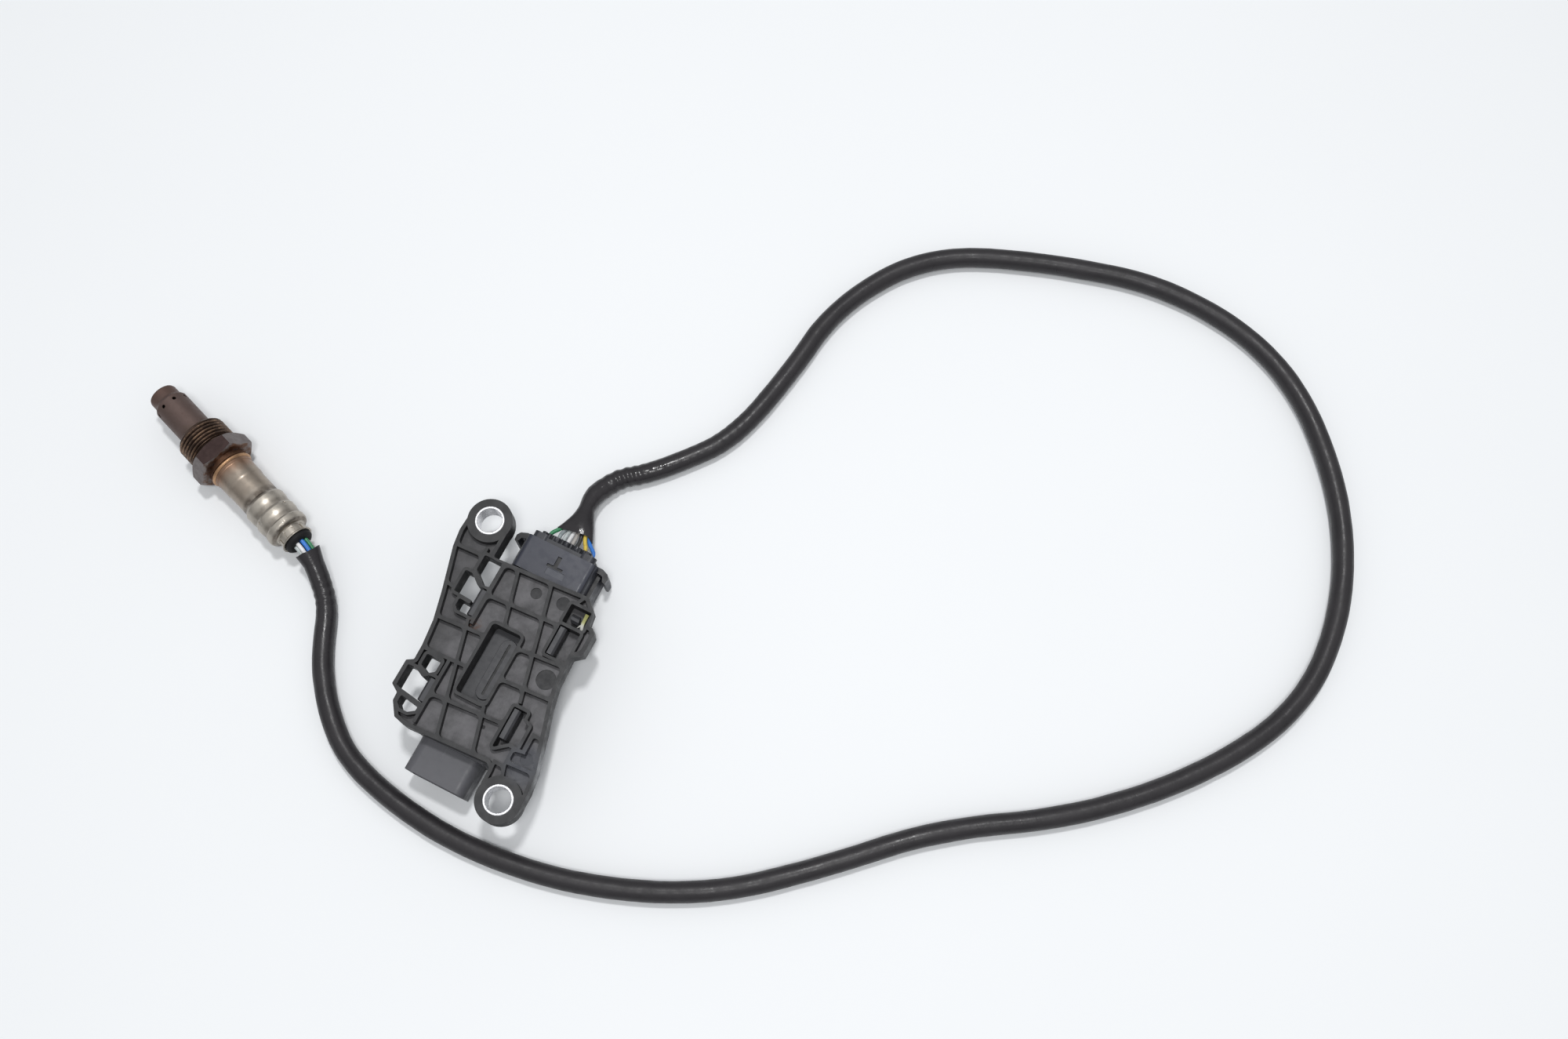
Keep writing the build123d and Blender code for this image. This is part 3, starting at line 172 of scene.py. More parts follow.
class Shader(Nodes):
    """One procedural material on a principled surface."""

    def __init__(self, name, base=(0.5, 0.5, 0.5), roughness=0.5, metallic=0.0, **sockets):
        self.material = bpy.data.materials.new(name)
        self.material.use_nodes = True
        super().__init__(self.material.node_tree)
        self.surface = self.tree.nodes["Principled BSDF"]
        self.set("Base Color", (*base, 1.0))
        self.set("Roughness", roughness)
        self.set("Metallic", metallic)
        for socket, value in sockets.items():
            self.set(socket.replace("_", " "), value)
        self.place = self.add("TexCoord").outputs["Object"]

    def set(self, socket, value):
        """A value, or another node's output, on one of the surface's sockets."""
        self.put(self.surface.inputs[socket], value)

    def vector(self, operation, a, b=None, output=0):
        """One step on vectors; the output is the vector, or "Value" for a number."""
        node = self.add("VectorMath", operation=operation)
        self.put(node.inputs[0], a)
        if b is not None:
            self.put(node.inputs[1], b)
        return node.outputs[output]

    def in_mm(self, metres):
        """A length in metres as millimetres."""
        return self.math("MULTIPLY", metres, MM_PER_METRE)

    def scaled(self, x, y, z):
        """The place in metres times a scale for each axis."""
        return self.vector("MULTIPLY", self.place, (x, y, z))

    def noise(self, size_mm, detail=3.0, rough=0.5, vector=None, distortion=0.0):
        """Soft noise, about 0.3 to 0.7, with spots of a size."""
        node = self.add("TexNoise")
        self.put(node.inputs["Vector"], vector or self.place)
        node.inputs["Scale"].default_value = MM_PER_METRE / size_mm
        node.inputs["Detail"].default_value = detail
        node.inputs["Roughness"].default_value = rough
        node.inputs["Distortion"].default_value = distortion
        return node.outputs["Fac"]

    def cells(self, size_mm):
        """The distance to the middle of the nearest of many round cells."""
        node = self.add("TexVoronoi", feature="F1")
        self.put(node.inputs["Vector"], self.place)
        node.inputs["Scale"].default_value = MM_PER_METRE / size_mm
        return node.outputs["Distance"]

    def band(self, value, low, full_from, full_to, high):
        """1 where the value is from full_from to full_to, falling to 0 at low and high."""
        return self.math("MULTIPLY", self.span(value, high, full_to),
                         self.span(value, low, full_from))

    def blend(self, factor, a, b):
        """Colour a where the factor is 0 and colour b where it is 1."""
        node = self.add("Mix", data_type="RGBA")
        self.put(node.inputs["Factor"], factor)
        for letter, value in (("A", a), ("B", b)):
            socket = next(s for s in node.inputs if s.name == letter and s.type == "RGBA")
            self.put(socket, (*value, 1.0) if isinstance(value, tuple) else value)
        return next(s for s in node.outputs if s.type == "RGBA")

    def tint(self, colour, where, share, tone):
        """A colour with a share of another tone over it where the mask is 1."""
        return self.blend(self.math("MULTIPLY", where, share), colour, tone)

    def painted_wall_shade(self, colour, share, tone):
        """A colour with painted shade on its walls and undersides."""
        return self.tint(colour, self.math("SUBTRACT", 1.0, self.facing_up()), share, tone)

    def component(self, axis):
        """The x, y or z of the place, in millimetres."""
        node = self.add("SeparateXYZ")
        self.put(node.inputs[0], self.place)
        return self.in_mm(node.outputs["XYZ".index(axis)])

    def from_point(self, point):
        """The place counted from a point in metres."""
        return self.vector("SUBTRACT", self.place, point)

    def along(self, origin, direction):
        """How far the place lies from an origin along a direction, in millimetres."""
        shift = self.from_point(origin)
        return self.in_mm(self.vector("DOT_PRODUCT", shift, direction, "Value"))

    def distance(self, point, stretch=(1.0, 1.0, 1.0)):
        """The distance to a point, in millimetres, each axis stretched."""
        shift = self.vector("MULTIPLY", self.from_point(point), stretch)
        return self.in_mm(self.vector("LENGTH", shift, output="Value"))

    def from_axis(self):
        """The distance from the probe's axis, in millimetres."""
        square = self.vector("CROSS_PRODUCT", self.from_point(PROBE_ORIGIN), TO_TIP)
        return self.in_mm(self.vector("LENGTH", square, output="Value"))

    def facing_up(self):
        """1 on faces that look up, 0 on walls and undersides."""
        parts = self.add("SeparateXYZ")
        self.put(parts.inputs[0], self.add("NewGeometry").outputs["Normal"])
        return self.span(parts.outputs["Z"], 0.3, 0.9)

    def patchy_roughness(self, size_mm, detail, low, high, rough=0.5):
        """A roughness that wanders between two values in spots of a size."""
        self.set("Roughness", self.span(self.noise(size_mm, detail, rough), 0.3, 0.7, low, high))

    def bump(self, height, depth_mm, strength=1.0, under=None):
        """Relief on the surface, over another relief when one is given."""
        node = self.add("Bump")
        node.inputs["Strength"].default_value = strength
        node.inputs["Distance"].default_value = depth_mm * MM
        self.put(node.inputs["Height"], height)
        if under is not None:
            self.put(node.inputs["Normal"], under)
        self.set("Normal", node.outputs["Normal"])
        return node.outputs["Normal"]


# ------------ materials

def bracket_plastic():
    """Black moulded nylon: dusty pocket floors, darker ribs with painted shade on their walls,
    painted shade in the sunk marks, stains and oily spots.
    """
    m = Shader("bracket_plastic", roughness=0.5, Specular_IOR_Level=0.3)
    height = m.component("Z")
    low = m.span(height, POCKET_FLOOR + 0.8, POCKET_FLOOR + 0.4)
    dust = m.math("MULTIPLY", m.math("MULTIPLY", low, m.facing_up()),
                  m.span(m.noise(8, 5, 0.65), 0.28, 0.68, 0.35, 1.0))
    plain = m.blend(m.noise(14, 4), (0.024, 0.024, 0.025), (0.037, 0.037, 0.039))
    colour = m.blend(dust, plain, (0.122, 0.119, 0.126))
    # Painted shade: the walls and undersides are darkened towards near black.
    colour = m.painted_wall_shade(colour, 0.55, (0.014, 0.014, 0.015))
    # Painted shade: the floors of the marks sunk in the pocket floors are darkened.
    marks = m.band(height, POCKET_FLOOR - 0.6, POCKET_FLOOR - 0.5,
                   POCKET_FLOOR - 0.25, POCKET_FLOOR - 0.15)
    colour = m.blend(marks, colour, (0.024, 0.024, 0.026))
    left = m.span(m.component("X"), -14.0, -24.0)
    colour = m.tint(colour, left, 0.45, (0.03, 0.03, 0.031))
    scuffs = m.span(m.noise(1.6, 6, 0.7, m.scaled(1, 0.35, 1)), 0.62, 0.78, 0.0, 0.5)
    colour = m.blend(scuffs, colour, (0.13, 0.13, 0.132))
    by_stain = m.span(m.distance(STAIN), 4.2, 0.6)
    stain = m.math("MULTIPLY", by_stain, m.span(m.noise(1.3, 4, 0.7), 0.42, 0.6))
    colour = m.blend(stain, colour, (0.1, 0.052, 0.035))
    oily = m.span(m.distance(OILY_SPOT), 11.0, 5.0)
    m.set("Base Color", m.tint(colour, oily, 0.7, (0.05, 0.054, 0.068)))
    rough = m.span(m.noise(3.5, 4, 0.6), 0.3, 0.7, 0.42, 0.62)
    m.set("Roughness", m.math("SUBTRACT", rough, m.math("MULTIPLY", oily, 0.22)))
    grain = m.bump(m.noise(0.35, 2), 0.02, 0.5)
    m.bump(m.noise(6.0, 3), 0.12, 0.35, grain)
    return m.material


def housing_plastic():
    """Dark grey moulded plastic with a fine grain and faint scratches, with painted shade on its
    walls and in the pad's groove.
    """
    m = Shader("housing_plastic", roughness=0.48, Specular_IOR_Level=0.35)
    colour = m.blend(m.noise(8, 4, 0.6), (0.036, 0.036, 0.04), (0.064, 0.065, 0.071))
    socket_end = m.span(m.component("Y"), -34.0, -37.0)
    colour = m.tint(colour, socket_end, 0.7, (0.112, 0.112, 0.124))
    # Painted shade: the walls and undersides are darkened towards near black.
    colour = m.painted_wall_shade(colour, 0.55, (0.016, 0.016, 0.018))
    # Painted shade: a thin band just below the pad's top, in its groove, is darkened to near black.
    groove = m.band(m.component("Z"), PAD_TOP - 0.7, PAD_TOP - 0.55, PAD_TOP - 0.4, PAD_TOP - 0.3)
    colour = m.blend(groove, colour, (0.01, 0.01, 0.011))
    scratches = m.span(m.noise(0.8, 3, 0.6, m.scaled(1.0, 0.08, 1.0)), 0.64, 0.74, 0.0, 0.35)
    m.set("Base Color", m.blend(scratches, colour, (0.16, 0.16, 0.17)))
    m.patchy_roughness(2.5, 4, 0.36, 0.55)
    m.bump(m.noise(0.3, 2), 0.015, 0.5)
    return m.material


def cap_plastic():
    """Slate blue-grey moulded plastic with faint flow marks, with painted shade on its walls and on
    its lower upward faces, the mark's floor among them.
    """
    m = Shader("cap_plastic", roughness=0.42, Specular_IOR_Level=0.35)
    height = m.component("Z")
    colour = m.blend(m.noise(11, 4, 0.55), (0.034, 0.0365, 0.05), (0.047, 0.05, 0.067))
    # Painted shade: the walls and undersides are darkened.
    colour = m.painted_wall_shade(colour, 0.65, (0.018, 0.019, 0.024))
    pad = m.math("MULTIPLY", m.span(m.distance(CAP_PAD, (1.0, 1.0, 0.0)), 4.6, 4.2),
                 m.span(height, CAP_TOP - 0.1, CAP_TOP - 0.2))
    colour = m.blend(pad, colour, (0.062, 0.066, 0.082))
    # Painted shade: the upward faces more than about 0.6 mm below the cap's top, the mark's recessed
    # floor among them, are painted near black.
    mark = m.span(height, CAP_TOP - 0.55, CAP_TOP - 0.65)
    colour = m.blend(m.math("MULTIPLY", mark, m.facing_up()), colour, (0.008, 0.008, 0.01))
    comb = m.span(m.component("Y"), 48.2, 48.8)
    colour = m.tint(colour, comb, 0.8, (0.02, 0.021, 0.026))
    specks = m.span(m.noise(0.9, 5, 0.75), 0.68, 0.76, 0.0, 0.4)
    m.set("Base Color", m.blend(specks, colour, (0.2, 0.2, 0.2)))
    m.patchy_roughness(3, 3, 0.3, 0.48)
    m.bump(m.noise(0.3, 2), 0.012, 0.4)
    return m.material


def bushing_metal():
    """Bright turned aluminium with fine tool rings."""
    m = Shader("bushing_metal", base=(0.7, 0.7, 0.72), roughness=0.28, metallic=1.0)
    m.patchy_roughness(0.7, 4, 0.2, 0.42, 0.7)
    m.bump(m.noise(0.25, 3, 0.6, m.scaled(0.25, 0.25, 2.5)), 0.02, 0.6)
    return m.material


def sleeve_rubber():
    """Brownish-black sleeve, crinkled and glossy by its ends and duller along the run."""
    m = Shader("sleeve_rubber", roughness=0.3, Specular_IOR_Level=0.3)
    colour = m.blend(m.noise(12, 4, 0.6), (0.014, 0.013, 0.0145), (0.032, 0.029, 0.032))
    dust = m.span(m.noise(2.2, 6, 0.75), 0.62, 0.8, 0.0, 0.2)
    m.set("Base Color", m.blend(dust, colour, (0.08, 0.074, 0.072)))
    by_cap = m.span(m.distance(GLOSS_BY_CAP), 60.0, 26.0)
    by_probe = m.span(m.distance(GLOSS_BY_PROBE), 38.0, 16.0)
    glossy = m.math("MAXIMUM", by_cap, by_probe)
    dull = m.span(m.noise(26, 3, 0.6), 0.3, 0.7, 0.3, 0.46)
    polish = m.math("MULTIPLY", glossy, 0.17)
    patches = m.span(m.noise(2.8, 4, 0.6), 0.3, 0.7, -0.05, 0.08)
    m.set("Roughness", m.math("ADD", m.math("SUBTRACT", dull, polish), patches))
    dimples = m.bump(m.span(m.cells(0.9), 0.0, 0.55), 0.03, 0.35)
    crinkle = m.math("MULTIPLY", m.noise(2.4, 2, 0.5, distortion=0.4), glossy)
    crinkles = m.bump(crinkle, 0.25, 0.45, dimples)
    waves = m.bump(m.noise(3.4, 3, 0.6), 0.2, 0.45, crinkles)
    m.bump(m.noise(9.0, 2), 0.5, 0.35, waves)
    return m.material


def seal_rubber():
    """Dull black moulded rubber."""
    m = Shader("seal_rubber", roughness=0.6, Specular_IOR_Level=0.2)
    m.set("Base Color", m.blend(m.noise(2, 4), (0.006, 0.006, 0.007), (0.015, 0.014, 0.015)))
    m.bump(m.noise(0.4, 3), 0.03, 0.5)
    return m.material


def wire_plastic(name, clean, dirty):
    """Coloured wire insulation, a little dirty."""
    m = Shader(name, roughness=0.36)
    m.set("Base Color", m.blend(m.span(m.noise(1.6, 4, 0.65), 0.35, 0.75), clean, dirty))
    m.patchy_roughness(1.2, 3, 0.28, 0.5)
    m.bump(m.noise(0.6, 2), 0.02, 0.4)
    return m.material


def probe_place(m, size_mm, detail, rough, waver):
    """The place along the probe's axis in mm, and the same with a wavering of some mm."""
    place = m.along(PROBE_ORIGIN, TO_TIP)
    shift = m.span(m.noise(size_mm, detail, rough), 0.0, 1.0, -waver, waver)
    return place, m.math("ADD", place, shift)


def nickel_steel():
    """Drawn nickel-plated sleeve, tinted copper by heat at its front, with painted shade in its
    waists.
    """
    m = Shader("nickel_steel", roughness=0.32, metallic=1.0)
    place, wavering = probe_place(m, 5, 3, 0.5, 2.0)
    plain = m.blend(m.noise(7, 4, 0.6), (0.36, 0.325, 0.28), (0.47, 0.435, 0.385))
    front = m.blend(m.noise(4, 4), (0.27, 0.225, 0.185), (0.36, 0.31, 0.26))
    colour = m.blend(m.span(wavering, -25.0, -17.0), plain, front)
    colour = m.blend(m.span(wavering, -10.5, -4.2), colour, (0.25, 0.155, 0.105))
    # Painted shade: the crimped waists behind the front are darkened, in patches.
    waist = m.math("MULTIPLY", m.band(m.from_axis(), 6.2, 6.8, 7.7, 8.4), m.span(place, -19.0, -21.0))
    waist_shade = m.math("MULTIPLY", waist, m.span(m.noise(2.2, 4), 0.3, 0.7, 0.4, 0.9))
    colour = m.blend(waist_shade, colour, (0.1, 0.08, 0.065))
    specks = m.span(m.noise(0.9, 6, 0.75), 0.66, 0.76, 0.0, 0.7)
    m.set("Base Color", m.blend(specks, colour, (0.17, 0.14, 0.11)))
    m.patchy_roughness(2.4, 5, 0.29, 0.45, 0.65)
    fine = m.bump(m.noise(0.3, 3), 0.01, 0.5)
    m.bump(m.noise(3.5, 3), 0.06, 0.3, fine)
    return m.material


def bead_copper():
    """The copper-coloured bead of the joint between sleeve and shell."""
    m = Shader("bead_copper", roughness=0.34, metallic=1.0)
    m.set("Base Color", m.blend(m.noise(2.4, 5, 0.6), (0.3, 0.17, 0.1), (0.55, 0.34, 0.19)))
    m.patchy_roughness(1.0, 4, 0.25, 0.5)
    m.bump(m.noise(0.6, 3), 0.04, 0.5)
    return m.material


def shell_steel():
    """Heat-stained steel: a brown thread whose crests are paler, partly from wear and partly as a
    painted highlight, and a grey-purple hexagon whose upward flat is painted darker as shade.
    """
    m = Shader("shell_steel", roughness=0.36, metallic=1.0)
    place, wavering = probe_place(m, 3, 4, 0.6, 1.2)
    flats = m.blend(m.noise(6, 4, 0.6), (0.15, 0.125, 0.12), (0.23, 0.21, 0.205))
    # Painted shade: the hexagon's upward flat is a darker purple-brown than its side flats.
    shaded_up_flat = m.blend(m.noise(4, 5, 0.65), (0.036, 0.023, 0.022), (0.07, 0.048, 0.045))
    hexagon = m.blend(m.facing_up(), flats, shaded_up_flat)
    grooves = m.blend(m.noise(2.0, 5, 0.7), (0.045, 0.03, 0.025), (0.11, 0.075, 0.058))
    # Paler crests of the thread in patches: partly wear, partly a painted highlight.
    glints = m.math("MULTIPLY", m.span(m.from_axis(), 9.3, 9.95),
                    m.span(m.noise(3.4, 5, 0.75), 0.4, 0.66))
    thread = m.blend(glints, grooves, (0.27, 0.175, 0.115))
    collar = m.blend(m.noise(3, 4), (0.07, 0.035, 0.024), (0.2, 0.11, 0.065))
    colour = m.blend(m.span(place, 6.7, 7.1), hexagon, thread)
    m.set("Base Color", m.blend(m.span(wavering, 0.4, -0.3), colour, collar))
    m.patchy_roughness(1.8, 5, 0.3, 0.52, 0.65)
    fine = m.bump(m.noise(0.25, 3), 0.012, 0.6)
    m.bump(m.noise(2.5, 4), 0.06, 0.4, fine)
    return m.material


def tube_steel():
    """Heat-stained brown protection tube, redder by its tip and duller by the thread."""
    m = Shader("tube_steel", roughness=0.5, metallic=0.75)
    wavering = probe_place(m, 6, 4, 0.6, 3.0)[1]
    brown = m.blend(m.noise(5, 5, 0.6), (0.09, 0.06, 0.052), (0.14, 0.1, 0.09))
    colour = m.blend(m.span(wavering, 33.0, 40.0), brown, (0.115, 0.072, 0.06))
    m.set("Base Color", m.blend(m.span(wavering, 21.0, 17.5), colour, (0.1, 0.07, 0.055)))
    m.patchy_roughness(2, 5, 0.42, 0.66, 0.7)
    m.bump(m.noise(0.4, 4), 0.02, 0.6)
    return m.material


def broken_latch_plastic():
    """Yellow-green plastic, whitened where it tore at its lower end."""
    m = Shader("broken_latch_plastic", roughness=0.4)
    yellow = m.blend(m.noise(1.2, 4), (0.2, 0.2, 0.06), (0.42, 0.42, 0.16))
    torn = m.span(m.component("Y"), 26.0, 24.0)
    m.set("Base Color", m.blend(torn, yellow, (0.5, 0.5, 0.46)))
    m.bump(m.noise(0.5, 3), 0.03, 0.5)
    return m.material


def plain_material(name, base, roughness, metallic=0.0):
    """A material for a piece inside the closed parts, with a light mottle."""
    m = Shader(name, roughness=roughness, metallic=metallic)
    darker = tuple(c * 0.7 for c in base)
    m.set("Base Color", m.blend(m.noise(2.5, 4, 0.6), darker, base))
    m.bump(m.noise(0.5, 3), 0.01, 0.4)
    return m.material


# Each wire's clean colour, and the same when dirty
WIRE_COLOURS = {
    "green": ((0.03, 0.23, 0.09), (0.02, 0.15, 0.07)),
    "grey": ((0.3, 0.34, 0.35), (0.2, 0.23, 0.24)),
    "light_grey": ((0.5, 0.54, 0.54), (0.34, 0.37, 0.37)),
    "white": ((0.82, 0.82, 0.83), (0.6, 0.6, 0.6)),
    "beige": ((0.4, 0.38, 0.36), (0.28, 0.26, 0.24)),
    "black": ((0.02, 0.02, 0.022), (0.035, 0.035, 0.035)),
    "yellow": ((0.72, 0.53, 0.07), (0.5, 0.37, 0.07)),
    "blue": ((0.03, 0.2, 0.66), (0.03, 0.13, 0.42)),
}

# The pieces inside: base colour, roughness and, for metals, 1
PLAIN_LOOKS = {
    "contact_metal": ((0.75, 0.66, 0.45), 0.3, 1.0),
    "board_laminate": ((0.03, 0.16, 0.07), 0.4),
    "chip_plastic": ((0.02, 0.02, 0.022), 0.5),
    "capacitor_metal": ((0.7, 0.7, 0.72), 0.3, 1.0),
    "ceramic": ((0.8, 0.78, 0.72), 0.5),
    "talc": ((0.7, 0.7, 0.66), 0.8),
    "element_ceramic": ((0.62, 0.6, 0.56), 0.5),
}

# Each slot's material, under the slot's name
MATERIALS = {make.__name__: make() for make in (
    bracket_plastic, housing_plastic, cap_plastic, bushing_metal, sleeve_rubber, seal_rubber,
    nickel_steel, bead_copper, shell_steel, tube_steel)}
for slot_name, look in PLAIN_LOOKS.items():
    MATERIALS[slot_name] = plain_material(slot_name, *look)
BROKEN_LATCH = broken_latch_plastic()
for wire_colour, shades in WIRE_COLOURS.items():
    MATERIALS[f"wire_{wire_colour}"] = wire_plastic(f"wire_{wire_colour}", *shades)


# ------------ geometry helpers

# Points closer than this, in metres, are one point, and faces that turn by less than
# this are one flat face. A face is level when its normal is upright to this share.
SAME_POINT = 1e-6
ONE_FLAT = math.radians(0.6)
UPRIGHT = 0.99

# Corners between walls are rounded between these angles in degrees, from this height
# on, and where the narrower wall is so many widths wide. So are sharp edges, where the
# narrower face is so many widths wide.
CORNER_FROM, CORNER_TO = 12, 100
CORNER_HEIGHT = 2.0
CORNER_ROOM = 2.4
EDGE_ROOM = 1.2

# The nodes that a dressed piece stands for
shown_by_pieces = set()


def stands_for(node):
    """The piece is seen in the CAD node's place."""
    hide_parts(node)
    shown_by_pieces.add(node)


def add_object(name, data, slot):
    """A visible object that rides on the part and belongs to a slot."""
    piece = bpy.data.objects.new(name, data)
    bpy.context.scene.collection.objects.link(piece)
    data.materials.clear()
    data.materials.append(MATERIALS[slot])
    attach(piece, "root")
    return piece


def add_piece(name, work, slot, smooth_angle):
    """A visible piece from a bmesh, smooth apart from edges sharper than an angle."""
    mesh = bpy.data.meshes.new(name)
    work.to_mesh(mesh)
    work.free()
    mesh.polygons.foreach_set("use_smooth", [True] * len(mesh.polygons))
    mesh.set_sharp_from_angle(angle=math.radians(smooth_angle))
    return add_object(name, mesh, slot)


def clean_copy(node):
    """A node's mesh with its flat faces joined up, ready for rounding."""
    work = bmesh.new()
    work.from_mesh(frame["nodes"][node].data)
    bmesh.ops.remove_doubles(work, verts=work.verts, dist=SAME_POINT)
    bmesh.ops.dissolve_limit(work, angle_limit=ONE_FLAT, verts=work.verts, edges=work.edges)
    return work


def narrowest(edge):
    """The mean width, square to an edge, of the narrower of its two faces, in mm."""
    return min(face.calc_area() for face in edge.link_faces) / edge.calc_length() / MM


def corner_angle(edge):
    """The angle that the surface turns by at an edge, in degrees."""
    return math.degrees(edge.calc_face_angle(0.0)) if edge.is_manifold else 0.0


def climb(edge):
    """How far an edge rises, in metres."""
    return abs(edge.verts[0].co.z - edge.verts[1].co.z)


def level_of(element):
    """The height of a level edge or face, in mm."""
    return round(element.verts[0].co.z / MM, 2)


def level_faces(work):
    """The faces that look straight up or down."""
    return [face for face in work.faces if abs(face.normal.z) > UPRIGHT]


def wall_corners(work, width):
    """The upright edges, apart from acute ones, between walls wide enough for a width."""
    return [edge for edge in work.edges if CORNER_FROM < corner_angle(edge) < CORNER_TO
            and climb(edge) > UPRIGHT * edge.calc_length()
            and edge.calc_length() > CORNER_HEIGHT * MM and narrowest(edge) > CORNER_ROOM * width]


def soften_corners(work, widths, floors):
    """Rounds the upright corners between walls by each of some widths.

    The level faces are taken off, so that only walls meet at each corner, and are filled
    in again after it. The faces at the floors' heights stay, split into triangles.
    """
    taken_off = [face for face in level_faces(work) if level_of(face) not in floors]
    levels = {level_of(face) for face in taken_off}
    bmesh.ops.delete(work, geom=taken_off, context="FACES")
    bmesh.ops.triangulate(work, faces=level_faces(work))
    for width in widths:
        bmesh.ops.bevel(work, geom=wall_corners(work, width), offset=width * MM,
                        offset_type="OFFSET", segments=4, profile=0.5, affect="EDGES",
                        clamp_overlap=True)
    for level in sorted(levels):
        rim = [edge for edge in work.edges if edge.is_boundary and level_of(edge) == level
               and climb(edge) < 0.01 * MM]
        bmesh.ops.triangle_fill(work, edges=rim, use_beauty=False, normal=UP)
    bmesh.ops.recalc_face_normals(work, faces=work.faces)
    bmesh.ops.dissolve_limit(work, angle_limit=ONE_FLAT, verts=work.verts, edges=work.edges)


def round_edges(piece, width, segments=2, angle=32):
    """Rounds a piece's sharp edges, apart from shallow steps, and keeps its flats flat."""
    work = bmesh.new()
    work.from_mesh(piece.data)
    weight = work.edges.layers.float.new("bevel_weight_edge")
    for edge in work.edges:
        if corner_angle(edge) > angle and narrowest(edge) > EDGE_ROOM * width:
            edge[weight] = 1.0
    work.to_mesh(piece.data)
    work.free()
    bevel = piece.modifiers.new("rounding", "BEVEL")
    bevel.width = width * MM
    bevel.segments = segments
    bevel.limit_method = "WEIGHT"
    bevel.use_clamp_overlap = True
    flats = piece.modifiers.new("flats", "WEIGHTED_NORMAL")
    flats.keep_sharp = True


def surface(name, rows, slot, cap_start=False, cap_end=False, smooth_angle=40, weld=False):
    """A skin over rows of points, each row a closed ring, with its two ends capped or open."""
    work = bmesh.new()
    rings = [[work.verts.new(point) for point in row] for row in rows]
    count = len(rows[0])
    for lower, upper in zip(rings, rings[1:]):
        for i in range(count):
            j = (i + 1) % count
            work.faces.new((lower[i], lower[j], upper[j], upper[i]))
    if cap_start:
        work.faces.new(list(reversed(rings[0])))
    if cap_end:
        work.faces.new(rings[-1])
    if weld:
        bmesh.ops.remove_doubles(work, verts=work.verts, dist=SAME_POINT / 10)
    bmesh.ops.recalc_face_normals(work, faces=work.faces)
    return add_piece(name, work, slot, smooth_angle)


def turned(across, over, angle):
    """The direction at an angle from one direction towards another."""
    return across * math.cos(angle) + over * math.sin(angle)


def probe_point(place, radius, angle):
    """A point round the probe's axis; angle 0 points sideways, a quarter turn up."""
    return PROBE_ORIGIN + TO_TIP * (place * MM) + turned(SIDEWAYS, UP, angle) * (radius * MM)


def fade(value, low, high):
    """0 at low, 1 at high, smooth between them."""
    t = min(max((value - low) / (high - low), 0.0), 1.0)
    return t * t * (3 - 2 * t)


def smooth_curve(name, points_mm, order, resolution):
    """A smooth curve that starts and ends on the first and last of its control points."""
    curve = bpy.data.curves.new(name, "CURVE")
    curve.dimensions = "3D"
    spline = curve.splines.new("NURBS")
    spline.points.add(len(points_mm) - 1)
    for control, place in zip(spline.points, points_mm):
        control.co = (*(c * MM for c in place), 1.0)
    spline.order_u = order
    spline.use_endpoint_u = True
    spline.resolution_u = resolution
    return curve


# ------------ lead

SLEEVE_RADIUS = LEAD_DIAMETER / 2 / MM
SLEEVE_SIDES = 32
# The sleeve's radius where it goes over into the flare
PINCHED_RADIUS = 3.3
# Wrinkled stretches: the end that they are counted from, the middle and half-length
# of each in mm along the sleeve, and their height
WRINKLES = (("cap", 21.0, 9.0, 0.36), ("cap", 66.0, 20.0, 0.1), ("probe", 12.0, 6.0, 0.26))
WRINKLE_LENGTH = 3.6


def route_points(points_mm, resolution):
    """Points along the smooth line that a route's control points give."""
    curve = smooth_curve("route", points_mm, 3, resolution)
    holder = bpy.data.objects.new("route", curve)
    mesh = bpy.data.meshes.new_from_object(holder)
    line = [vertex.co.copy() for vertex in mesh.vertices]
    bpy.data.objects.remove(holder)
    bpy.data.curves.remove(curve)
    bpy.data.meshes.remove(mesh)
    return line


def ring_frames(line):
    """For each point of a line, two directions square to it that never twist."""
    frames = []
    side = None
    for i, point in enumerate(line):
        ahead = (line[min(i + 1, len(line) - 1)] - line[max(i - 1, 0)]).normalized()
        if side is None:
            side = ahead.cross(UP).normalized()
        side = (side - ahead * side.dot(ahead)).normalized()
        frames.append((point, side, side.cross(ahead)))
    return frames


def sleeve_radius(travelled, total, place):
    """The sleeve's radius in mm at a place, with slack waves and wrinkles by its ends."""
    slack = noise.noise(place * 90.0) * 0.1 + noise.noise(place * 260.0) * 0.05
    run = {"cap": total - travelled, "probe": travelled}
    wrinkle = sum(math.exp(-((run[end] - middle) / half) ** 2) * height
                  for end, middle, half, height in WRINKLES)
    waves = math.sin(travelled * TURN / WRINKLE_LENGTH + noise.noise(place * 60.0) * 2.5)
    pinched = SLEEVE_RADIUS + (PINCHED_RADIUS - SLEEVE_RADIUS) * fade(run["cap"], 9.0, 0.0)
    plain = fade(run["cap"], 0.0, 4.0) * fade(travelled, 0.0, 3.0)
    return pinched + (slack + wrinkle * (waves * 0.5 - 0.35)) * plain


lead_line = route_points(LEAD_ROUTE, 32)
lead_length = sum((b - a).length for a, b in zip(lead_line, lead_line[1:]))


